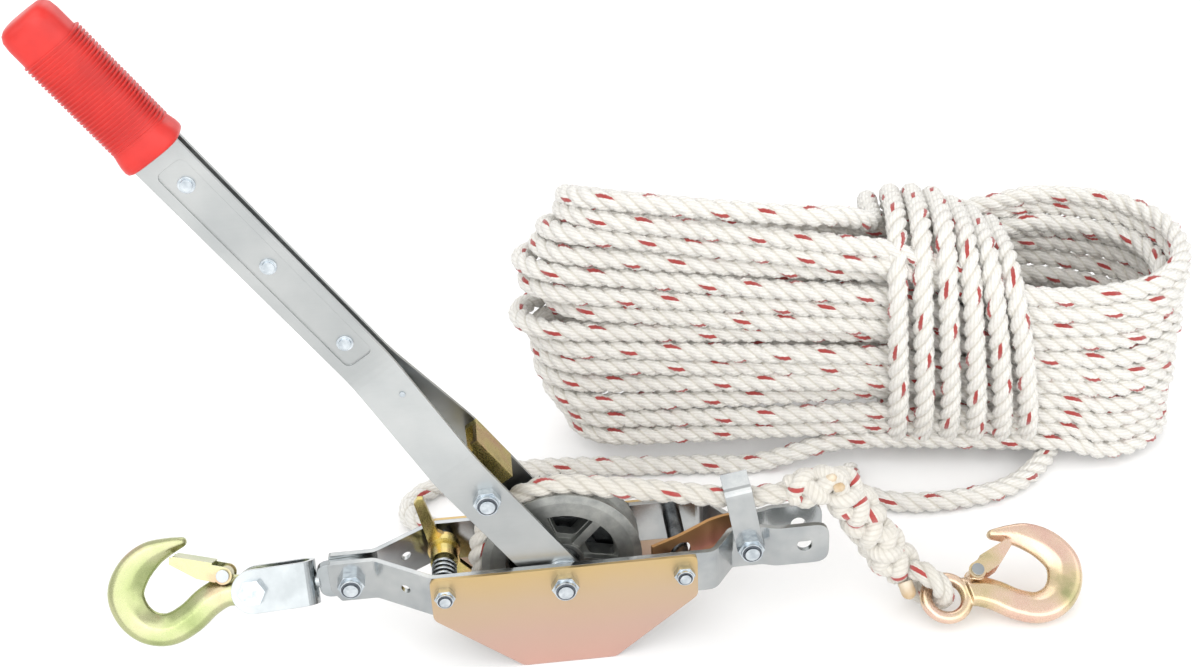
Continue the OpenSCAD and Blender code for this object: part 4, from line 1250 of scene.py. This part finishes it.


# Points of the rope's free runs, in metres from the axle.
LINE_ROUTE = (
    (0.040, 0.0, 0.0382), (0.070, 0.0, 0.0316), (0.088, 0.0, 0.0275), (0.104, 0.0, 0.0256),
    (0.126, 0.0, 0.0264),
)  # fmt: skip
SPLICE_ROUTE = (
    (0.126, 0.0, 0.0264), (0.138, 0.0, 0.0286), (0.150, 0.0, 0.028), (0.160, 0.0, 0.019),
    (0.168, -0.001, 0.006), (0.176, -0.003, -0.009), (0.185, -0.005, -0.022),
    (0.193, -0.008, -0.031),
)  # fmt: skip
TAIL_ROUTE = (
    (0.020, 0.0, -0.048), (0.042, 0.006, -0.0486), (0.058, 0.024, -0.0486),
    (0.062, 0.052, -0.0486), (0.046, 0.078, -0.0486), (0.014, 0.090, -0.0486),
    (-0.022, 0.092, -0.0486), (-0.058, 0.093, -0.0486), (-0.084, 0.102, -0.0486),
    (-0.090, 0.118, -0.0486), (-0.080, 0.134, -0.0486), (-0.052, 0.145, -0.0486),
    (-0.014, 0.149, -0.0486), (0.026, 0.146, -0.0486), (0.062, 0.141, -0.0486),
    (0.098, 0.137, -0.0486), (0.130, 0.133, -0.0486),
)  # fmt: skip
END_ROUTE = (
    (0.203, 0.131, -0.0486), (0.194, 0.120, -0.0486), (0.186, 0.107, -0.0486),
    (0.189, 0.093, -0.0486), (0.203, 0.082, -0.0486), (0.224, 0.076, -0.0486),
    (0.250, 0.076, -0.0486), (0.276, 0.081, -0.0486), (0.296, 0.092, -0.0486),
)  # fmt: skip


def in_mm(points: Sequence[Sequence[float]]) -> list[tuple[float, ...]]:
    """Metres to millimetres."""
    return [tuple(c / MM for c in p) for p in points]


@dataclass
class LoadRope:
    """The loaded part of the rope: round the wheel, over the keeper and down to its hook."""

    eye_radius: float = 13.0
    eye_direction: float = 138.0
    eye_gap: float = 0.1
    # Degrees round the eye: from, to, step.
    eye_arc: tuple[int, int, int] = (40, 321, 10)
    ring_hole: float = 8.0
    step: float = 2.0
    braid_strands: int = 3
    braid_lay: float = 46.0
    braid_mid: float = 7.6
    braid_wave: float = 1.9
    braid_step: float = 1.5
    # The splice's fullness: shares of its length and of its radius.
    braid_at: tuple[float, ...] = (0, 0.12, 0.3, 0.8, 1)
    braid_swell: tuple[float, ...] = (0.6, 0.95, 1.0, 1.06, 0.9)
    strand_radius: float = 5.0
    strand_flat: float = 0.86
    strand_sides: int = 12
    strand_lag: float = 0.005
    # A seam's map stays inside its own strand.
    strand_map: float = 0.998
    # Fused ends: from, to, radius.
    stubs: tuple[tuple[Point, Point, float], ...] = (
        ((150.0, -9.5, 33.0), (155.0, -11.5, 35.0), 2.6),
        ((147.0, -6.0, 37.0), (151.0, -8.5, 39.5), 2.4),
        ((190.0, -17.0, -31.0), (192.0, -24.0, -38.0), 4.2),
    )
    stub_round: tuple[float, float] = (0.55, 0.21)
    stub_least: float = 0.02
    stub_sides: int = 12
    pieces: list = field(default_factory=list)

    def eye_loop(self) -> np.ndarray:
        """The middle of the rope's loop through the ring, square to the ring."""
        lean = math.radians(HOOK_ROLL)
        d = math.radians(self.eye_direction)
        e = np.array([math.cos(d), math.sin(d) * math.sin(lean), math.sin(d) * math.cos(lean)])
        n = np.array([0.0, math.cos(lean), -math.sin(lean)])
        middle = RING_AT + (self.eye_radius + self.ring_hole - ROPE_R + self.eye_gap) * e
        angles = np.radians(np.arange(*self.eye_arc))[:, None]
        return middle + self.eye_radius * (np.cos(angles) * e + np.sin(angles) * n)

    def core(self) -> np.ndarray:
        """The whole middle line from under the wheel to the far side of the eye."""
        free = in_mm(LINE_ROUTE) + in_mm(SPLICE_ROUTE[1:])
        points = wheel_run(WRAP_LOW, WRAP_TOP) + free + self.eye_loop()[::3].tolist()
        return smooth_path(points, steps=8)

    def braid(self, material: Material) -> Piece:
        """The splice: strands tucked over and under each other round the rope.

        Args:
            material: The rope's finish.

        Returns:
            The braided sleeve.
        """
        path = even_path(smooth_path(in_mm(SPLICE_ROUTE), steps=10), self.braid_step)
        _, n, b = path_frames(path)
        s = length_along(path)
        swell = np.interp(s / s[-1], self.braid_at, self.braid_swell)
        radii = self.strand_radius * np.sqrt(swell)
        radii[[0, -1]] *= 0.5
        sides = self.strand_sides
        round_it = np.linspace(0, 2 * math.pi, sides, endpoint=False)[None, :, None]
        edges = np.arange(sides + 1) / sides * self.strand_map
        rate = 2 * math.pi / self.braid_lay
        parts, uvs = [], []
        for hand in (1, -1):
            for k in range(self.braid_strands):
                at = hand * (rate * s + 2 * math.pi * k / self.braid_strands)
                crossing = self.braid_strands * (rate * s + math.pi * k / self.braid_strands)
                out = np.cos(at)[:, None] * n + np.sin(at)[:, None] * b
                r = (self.braid_mid + hand * self.braid_wave * np.cos(crossing)) * swell
                line = path + r[:, None] * out
                aim = unit(np.gradient(line, axis=0))
                out = unit(out - aim * np.sum(out * aim, axis=1)[:, None])
                side = np.cross(aim, out)
                # The seam of each strand, with the darkest painted shade, faces inside the rope.
                ring = -np.cos(round_it) * out[:, None] * self.strand_flat
                ring = ring + np.sin(round_it) * side[:, None]
                verts = (line[:, None] + radii[:, None, None] * ring).reshape(-1, 3)
                parts.append((verts, ring_faces(len(line), sides)))
                along = length_along(line) * MM + self.strand_lag * k
                u = edges + (0.0 if k == 0 else 1.0 + k % 2)
                for low, high in zip(along, along[1:]):
                    for a, z in zip(u, u[1:]):
                        uvs += [(a, low), (z, low), (z, high), (a, high)]
                uvs += [CAP_UV] * (2 * sides)
        return rope_piece("rope_splice_tucks", join_parts(parts), np.array(uvs), material)

    def ends(self, material: Material) -> Piece:
        """Short fused stubs where the tucked strands end.

        Args:
            material: The finish of fused ends.

        Returns:
            The stubs.
        """
        start, fall = self.stub_round
        parts = []
        for a, b, r in self.stubs:
            path = even_path(np.array([a, b]), 1.0)
            past = np.maximum(0, np.linspace(0, 1, len(path)) - start)
            share = np.sqrt(np.clip(1 - past**2 / fall, self.stub_least, 1))
            parts.append(tube(path, r * share, self.stub_sides))
        return coat(mesh_object("splice_fused_ends", *join_parts(parts), FRAME), material)

    def dress(self, material: Material, fused: Material) -> None:
        """Builds, hangs and reports the loaded rope.

        Args:
            material: The rope's finish.
            fused: The finish of fused ends.
        """
        path = even_path(self.core(), self.step)
        rope = LaidRope().skin("load_rope", path, material)
        braid = self.braid(material)
        ends = self.ends(fused)
        for piece in (rope, braid, ends):
            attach(piece, "frame")
        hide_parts("rope_wrap", "rope_line", "rope_eye")
        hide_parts("rope_splice")
        log.info("load rope: %.0f mm with its splice", length_along(path)[-1])


@dataclass
class TailRope:
    """The spare rope: a short run on the floor, then a long hank with wrapping turns."""

    turns: int = 14
    step: float = 3.4
    half: float = 52.65
    right_x: float = 156.5
    left_x: float = -171.5
    left_y: float = -15.0
    # Places along the front run where a turn starts, and points to its right and left.
    front_x: Point = (-57.0, 20.0, 90.0)
    front_end: float = -115.0
    back_x: float = 90.0
    back_run: float = 66.0
    right_points: int = 15
    left_points: int = 13
    turn_step: float = 18.0
    # Each turn's row where the turns are packed, and whether it lies in the inner layer there.
    rows: tuple[float, ...] = (0, 1, 2, 2.5, 3, 4, 5, 5.5, 6, 7, 8, 8.5, 9, 10)
    inner: tuple[int, ...] = (0, 0, 0, 1, 0, 0, 0, 1, 0, 0, 0, 1, 0, 0)
    inner_step: float = 11.0
    odd_step: float = 1.2
    # What the inner layer moves towards: half the length of a line along the hank, and its side.
    core: tuple[float, float] = (120.0, -6.0)
    packed_at: tuple[float, ...] = (-200, -60, 40, 130)
    packed_share: tuple[float, ...] = (0, 0.3, 0.8, 1)
    # A turn keeps its row for a moment after its start, and climbs to the next row otherwise.
    lag: float = 0.125
    dwell: float = 0.07
    # Rise of one turn or row along the hank: places, lift off the floor, rise. The front's left
    # half counts turns, and the rest counts rows from the second place of level_at on.
    level_at: tuple[float, float] = (25, 110)
    front_at: tuple[float, ...] = (-200, 25, 138, 165)
    front_lift: tuple[float, ...] = (0, 12.7, 11.5, 3.0)
    front_rise: tuple[float, ...] = (13.8, 10.4, 10.4, 11.6)
    back_at: tuple[float, ...] = (-200, -60, 20, 125, 165)
    back_lift: tuple[float, ...] = (0, 0, 12.0, 11.5, 0)
    back_rise: tuple[float, ...] = (14.2, 12.4, 10.4, 12.5, 13.1)
    left_offsets: tuple[float, ...] = (34, 26, 18, 14, 15, 12, 0, 24, 10, 6, 16, 22, 35, 36)
    # Each turn wanders in a wave of its own, across and up.
    wander: float = 0.9
    wander_rate: tuple[float, float] = (9.0, 7.0)
    draws: int = 6
    wraps: int = 6
    wrap_step: float = 15.0
    wrap_ends: tuple[float, float] = (80.0, 275.0)
    wrap_from: float = 15.0
    wrap_pitch: float = 14.65
    wrap_lean: tuple[float, float] = (12.5, 0.0)
    wrap_fan: float = 0.09
    wrap_half: tuple[float, float] = (65.35, 81.65)
    wrap_mid: float = 88.35
    wrap_exponent: float = 3.0
    wrap_stray: tuple[float, float] = (1.5, 6.9)
    # The bundle thins to the right, so the last wrapping turns sink, and all of them do over its
    # hollow middle: turns or places across, and how far the top comes down.
    sink_turns: tuple[tuple[float, ...], ...] = ((0, 1.0, 2.8, 6.1), (6, 0, 0, 26))
    sink_across: tuple[tuple[float, ...], ...] = ((-45, 65), (0, 24))
    # The rope's way from the last turn up to the wrapping, and from the wrapping's foot.
    climb: tuple[Point, ...] = ((-26.0, -50.0, 178.0), (-4.0, -41.0, 173.0))
    foot: Point = (133.0, -42.0, 6.4)
    # Slack rope opens a little in its lay, so it is fuller than the rope under load.
    slack_swell: float = 1.06
    cut_end: Point = (0.3, 0.72, 0.93)
    seed: int = 7

    def plan(self, k: int) -> np.ndarray:
        """One turn seen from above, starting and ending where the rope joins the front.

        Args:
            k: The turn's number.

        Returns:
            Points in the hank's own frame, in plan.
        """
        centre_x = self.left_x + self.left_offsets[k]
        small = self.half + self.left_y
        tilt = math.atan2(-self.left_y, self.right_x - centre_x)
        meet = math.pi / 2 + 2 * tilt
        right = [(self.right_x + self.half * math.cos(a), self.half * math.sin(a))
                 for a in np.linspace(-math.pi / 2, meet, self.right_points)]  # fmt: skip
        left = [(centre_x + small * math.cos(a), self.left_y + small * math.sin(a))
                for a in np.linspace(meet, 1.5 * math.pi, self.left_points)]  # fmt: skip
        back = (self.back_x, right[-1][1] - self.back_run * math.sin(2 * tilt))
        front = [(x, -self.half) for x in self.front_x]
        return np.array([*front, *right, back, *left, (self.front_end, -self.half)])

    def height(self, k: float, row: float, x: float, to_back: float) -> float:
        """Height of the rope's middle at a place along the hank.

        Args:
            k: The turn, with the share of it done.
            row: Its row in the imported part.
            x: Place along the hank.
            to_back: 0 at the front, 1 at the back.

        Returns:
            The height above the floor in millimetres.
        """
        level = np.interp(x, self.level_at, (k, row))
        front = np.interp(x, self.front_at, self.front_lift)
        front += level * np.interp(x, self.front_at, self.front_rise)
        back = np.interp(x, self.back_at, self.back_lift)
        back += row * np.interp(x, self.back_at, self.back_rise)
        return ROPE_R + float(front + (back - front) * to_back)

    def coil(self) -> list[np.ndarray]:
        """The hank's turns, with their rise, in the hank's own frame."""
        rng = np.random.default_rng(self.seed)
        (reach, core_y), (rate_y, rate_z) = self.core, self.wander_rate
        steps = np.arange(self.turns) + self.lag
        knots = np.c_[steps - self.dwell, steps + self.dwell].ravel()[1:]
        rows, layers = (np.repeat(values, 2)[1:] for values in (self.rows, self.inner))
        points = []
        for k in range(self.turns):
            plan = self.plan(k)
            plan = even_path(np.c_[plan, np.zeros(len(plan))], self.turn_step)[:-1, :2]
            wave = rng.normal(0, 1, self.draws)
            for i, (x, y) in enumerate(plan):
                done = i / len(plan)
                at = k + done
                to_back = float(np.clip((y + self.half) / (2 * self.half), 0, 1))
                z = self.height(at, float(np.interp(at, knots, rows)), x, to_back)
                tight = np.interp(x, self.packed_at, self.packed_share)
                tight = tight * (1 - to_back) + to_back
                layer = float(np.interp(at, knots, layers))
                inward = self.inner_step * layer * tight + self.odd_step * (k % 2)
                toward = np.array([np.clip(x, -reach, reach), core_y]) - (x, y)
                toward /= np.linalg.norm(toward)
                x += inward * toward[0]
                y += inward * toward[1]
                y += self.wander * wave[0] * math.sin(rate_y * done + 3 * wave[1])
                sway = self.wander * wave[2] * math.sin(rate_z * done + 3 * wave[3])
                z += sway * min(1, at / 2)
                points.append(np.array([x, y, z]))
        return points

    def wrapping(self) -> list[np.ndarray]:
        """The wrapping turns round the bundle, from its top left to its foot on the right."""
        first = math.radians(self.wrap_ends[0])
        last = math.radians(self.wrap_ends[1] + 360 * self.wraps)
        points = []
        e = 2 / self.wrap_exponent
        for a in np.arange(first, last, math.radians(self.wrap_step)):
            c, s = math.cos(a), math.sin(a)
            y = -self.wrap_half[0] * math.copysign(abs(c) ** e, c)
            z = self.wrap_mid + self.wrap_half[1] * math.copysign(abs(s) ** e, s)
            done = (a - first) / (2 * math.pi)
            x = self.wrap_from + self.wrap_pitch * done
            x += float(np.interp(z, (0, 2 * self.wrap_mid), self.wrap_lean))
            x += self.wrap_fan * self.wrap_pitch * done * (1 - z / self.wrap_mid)
            x += self.wrap_stray[0] * math.sin(self.wrap_stray[1] * done)
            sink = np.interp(done, *self.sink_turns) + np.interp(y, *self.sink_across)
            z -= float(sink) * max(0.0, z / self.wrap_mid - 1)
            points.append(np.array([x, y, z]))
        return points

    def route(self) -> np.ndarray:
        """The whole middle line, from under the wheel to the bare end, from the axle."""
        to_axle = FRAME.inverted() @ HANK
        bundle = [*self.coil()[3:-1], *self.climb, *self.wrapping(), self.foot]
        held = [tuple(to_axle @ Vector(p)) for p in bundle]
        start = wheel_run(TAIL_FROM, WRAP_LOW)[:1]
        # The free end leaves the wrapping's foot, so its route is followed from its far point.
        points = start + in_mm(TAIL_ROUTE) + held + in_mm(END_ROUTE[:0:-1])
        return smooth_path(points, steps=8)

    def dress(self, material: Material) -> None:
        """Builds, hangs and reports the spare rope."""
        path = even_path(self.route(), self.step)
        laid = LaidRope(swell=self.slack_swell, tip=self.cut_end)
        rope = laid.skin("hank_rope", path, material)
        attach(rope, "frame")
        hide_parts("rope_tail", "rope_hank", "rope_end")
        log.info("spare rope: %.2f m in %d turns", length_along(path)[-1] * MM, self.turns)


# ---- Stage ----


@dataclass
class Studio:
    """Camera, floor and soft light."""

    camera_at: Point = (-0.154672, -0.709909, 0.564814)
    right: Point = (0.99448782, -0.09472579, -0.04495565)
    up: Point = (0.08706091, 0.50705665, 0.85750449)
    forward: Point = (0.05843272, 0.85669165, -0.51250857)
    lens_mm: float = 48.814
    sensor_mm: float = 36.0
    floor_half: float = 4.0
    floor_gap: float = 0.0003
    # Far from the lamps the paper needs more light of its own to stay white.
    paper_near: tuple[float, float] = (0.8, 0.1)
    paper_far: tuple[float, float] = (2.2, 0.6)
    sky_lit: float = 0.92
    aim_at: Point = (0.0, 0.05, 0.0)
    # Name, place, width and height in metres, watts.
    lamps: tuple[tuple[str, Point, tuple[float, float], float], ...] = (
        ("key", (-0.9, -0.9, 1.5), (1.8, 1.8), 11.5),
        ("front", (0.12, -1.9, 0.78), (3.4, 1.6), 20.0),
        ("fill", (1.3, -0.6, 1.1), (1.4, 1.4), 4.0),
        ("rear", (0.2, 1.4, 1.3), (1.5, 1.5), 6.0),
    )

    def camera(self) -> None:
        """Sets up the camera at the three-quarter view from above."""
        data = bpy.data.cameras.new("camera")
        data.lens = self.lens_mm
        data.sensor_width = self.sensor_mm
        rows = np.eye(4)
        rows[:3] = np.c_[self.right, self.up, -np.array(self.forward), self.camera_at]
        obj = link("camera", data)
        obj.matrix_world = Matrix(rows.tolist())
        bpy.context.scene.camera = obj

    @staticmethod
    def plain_to(tree: Tree) -> Node:
        """1 for the rays of the camera, of mirrors and of glass, else 0."""
        rays = add(tree, "ShaderNodeLightPath").outputs
        seen = rays["Is Camera Ray"]
        for kind in ("Is Glossy Ray", "Is Transmission Ray"):
            seen = add(tree, MATH, (seen, rays[kind]), operation="MAXIMUM")
        return seen

    def floor(self) -> None:
        """Lays a pale floor that shows white to the eye and keeps the shadow."""
        size, z = self.floor_half, AXLE.z + FLOOR_Z * MM - self.floor_gap
        mesh = bpy.data.meshes.new("floor")
        corners = ((-size, -size, z), (size, -size, z), (size, size, z), (-size, size, z))
        mesh.from_pydata(corners, [], [(0, 1, 2, 3)])
        material, tree, shader = shader_of("matt_white_paper")
        shader.inputs["Base Color"].default_value = linear("#F4F4F4")
        shader.inputs["Roughness"].default_value = 0.9
        shader.inputs["Specular IOR Level"].default_value = 0.1
        shader.inputs["Emission Color"].default_value = linear("#FFFFFF")
        place = add(tree, "ShaderNodeTexCoord").outputs["Object"]
        away = add(tree, "ShaderNodeVectorMath", (place,), operation="LENGTH").outputs["Value"]
        (near, less), (far, more) = self.paper_near, self.paper_far
        ends = {"From Min": near, "From Max": far, "To Min": less, "To Max": more}
        glow = add(tree, RANGE, {"Value": away, **ends}, interpolation_type="SMOOTHSTEP")
        lift = add(tree, MATH, (self.plain_to(tree), glow), operation="MULTIPLY")
        tree.links.new(lift.outputs[0], shader.inputs["Emission Strength"])
        mesh.materials.append(material)
        link("floor", mesh)

    def lamp(self, name: str, at: Point, size: tuple[float, float], watts: float) -> None:
        """Hangs one soft lamp that faces the rope puller.

        Args:
            name: The lamp's name.
            at: Where it hangs, in metres.
            size: Its width and height in metres.
            watts: Its power.
        """
        data = bpy.data.lights.new(name, "AREA")
        data.shape = "RECTANGLE"
        data.size, data.size_y = size
        data.energy = watts
        obj = link(name, data)
        obj.location = at
        aim = Vector(self.aim_at) - Vector(at)
        obj.rotation_euler = aim.to_track_quat("-Z", "Y").to_euler()

    def sky(self) -> None:
        """An even, pale surround, white to the eye and in mirrors."""
        world = bpy.data.worlds.new("studio")
        bpy.context.scene.world = world
        world.use_nodes = True
        tree = world.node_tree
        back = tree.nodes["Background"]
        back.inputs["Color"].default_value = linear("#FFFFFF")
        level = add(tree, RANGE, {"Value": self.plain_to(tree), "To Min": self.sky_lit})
        tree.links.new(level.outputs[0], back.inputs["Strength"])

    def build(self) -> None:
        """Sets up the whole stage."""
        self.camera()
        self.floor()
        self.sky()
        for lamp in self.lamps:
            self.lamp(*lamp)
        bpy.context.scene.view_settings.view_transform = "Standard"


# Radii of the bolts, and how far the cross bolts are from the axle.
M6 = 3.0
M8 = 4.0
CROSS_X = 64.5


def main() -> None:
    """Builds the stage and every piece in order."""
    logging.basicConfig(level=logging.INFO, format="%(message)s")
    Studio().build()
    forged = ForgedHook("forged_rope_hook", EyeKind.RING, lug_at=(-20.5, 9.0))
    forged = forged.build(ROPE_HOOK, RING_CHROMATE.make())
    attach(forged, "frame")
    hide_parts("rope_hook")
    small = [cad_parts[n] for n in ("rope_hook_latch", "rope_hook_rivet", "rope_hook_spring")]
    LoadRope(pieces=[forged, *small]).dress(SHADED_LOAD_ROPE.make(), FUSED_ROPE.make())
    TailRope().dress(ROPE.make())
    anchor = ForgedHook("forged_anchor_hook", EyeKind.PLAIN, lug_at=(-16.0, 9.8))
    anchor = anchor.build(ANCHOR_HOOK, HOOK_CHROMATE.make())
    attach(anchor, "anchor_hook")
    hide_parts("anchor_hook")
    DippedGrip().dress(RED_VINYL.make())
    Springs().dress(SPRING_WIRE.make())
    nylon = NYLON.make()
    frame_nuts = [(name, M8, None) for name in ("axle_nut", "neck_nut", "keeper_nut")]
    frame_nuts[1:1] = [("cross_nuts", M6, -CROSS_X), ("cross_nuts", M6, CROSS_X)]
    NutRings().build("frame", frame_nuts, nylon)
    NutRings().build("handle", (("pawl_nut", M8, None),), nylon)
    finishes = {
        BRIGHT_ZINC: ("side_plate_near", "side_plate_far", "rope_keeper"),
        FRESH_ZINC: ("clevis_strap", "swivel_eye", "anchor_latch_rivet", "rope_hook_rivet"),
        SATIN_ZINC: ("handle_lever",),
        BOLT_ZINC: (
            "axle_bolt", "axle_nut", "axle_washers", "cross_bolts", "cross_nuts", "neck_bolt",
            "neck_nut", "keeper_bolt", "keeper_nut", "sheave_rivets", "handle_rivets",
            "pawl_bolt", "pawl_nut", "spring_pin", "swivel_nut", "clevis_bolt", "clevis_nut",
        ),  # fmt: skip
        DARK_STEEL: (
            "axle_sleeve", "wheel_spacers", "cross_spacer", "pawl_pin_sleeve", "keeper_spacer",
            "pawl_sleeve",
        ),  # fmt: skip
        CAST_ALLOY: ("sheave",),
        RATCHET_STEEL: ("ratchet_wheel",),
        BRONZE: ("sheave_bush",),
        SPRING_WIRE: (
            "drive_pawl_spring", "holding_pawl_spring", "anchor_latch_spring", "rope_hook_spring",
        ),  # fmt: skip
        PAWL_CHROMATE: ("drive_pawl", "holding_pawl"),
        HOOK_CHROMATE: ("anchor_hook", "anchor_latch"),
        RING_CHROMATE: ("rope_hook", "rope_hook_latch"),
        GUARD_CHROMATE: ("guard_near", "guard_far"),
        GUIDE_CHROMATE: ("rope_guide",),
        RED_VINYL: ("handle_grip",),
    }
    for finish, nodes in finishes.items():
        material = finish.make()
        for name in nodes:
            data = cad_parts[name].data
            data.materials.clear()
            data.materials.append(material)
        log.info("%s on %d nodes", finish.name, len(nodes))


if __name__ == "__main__":
    main()
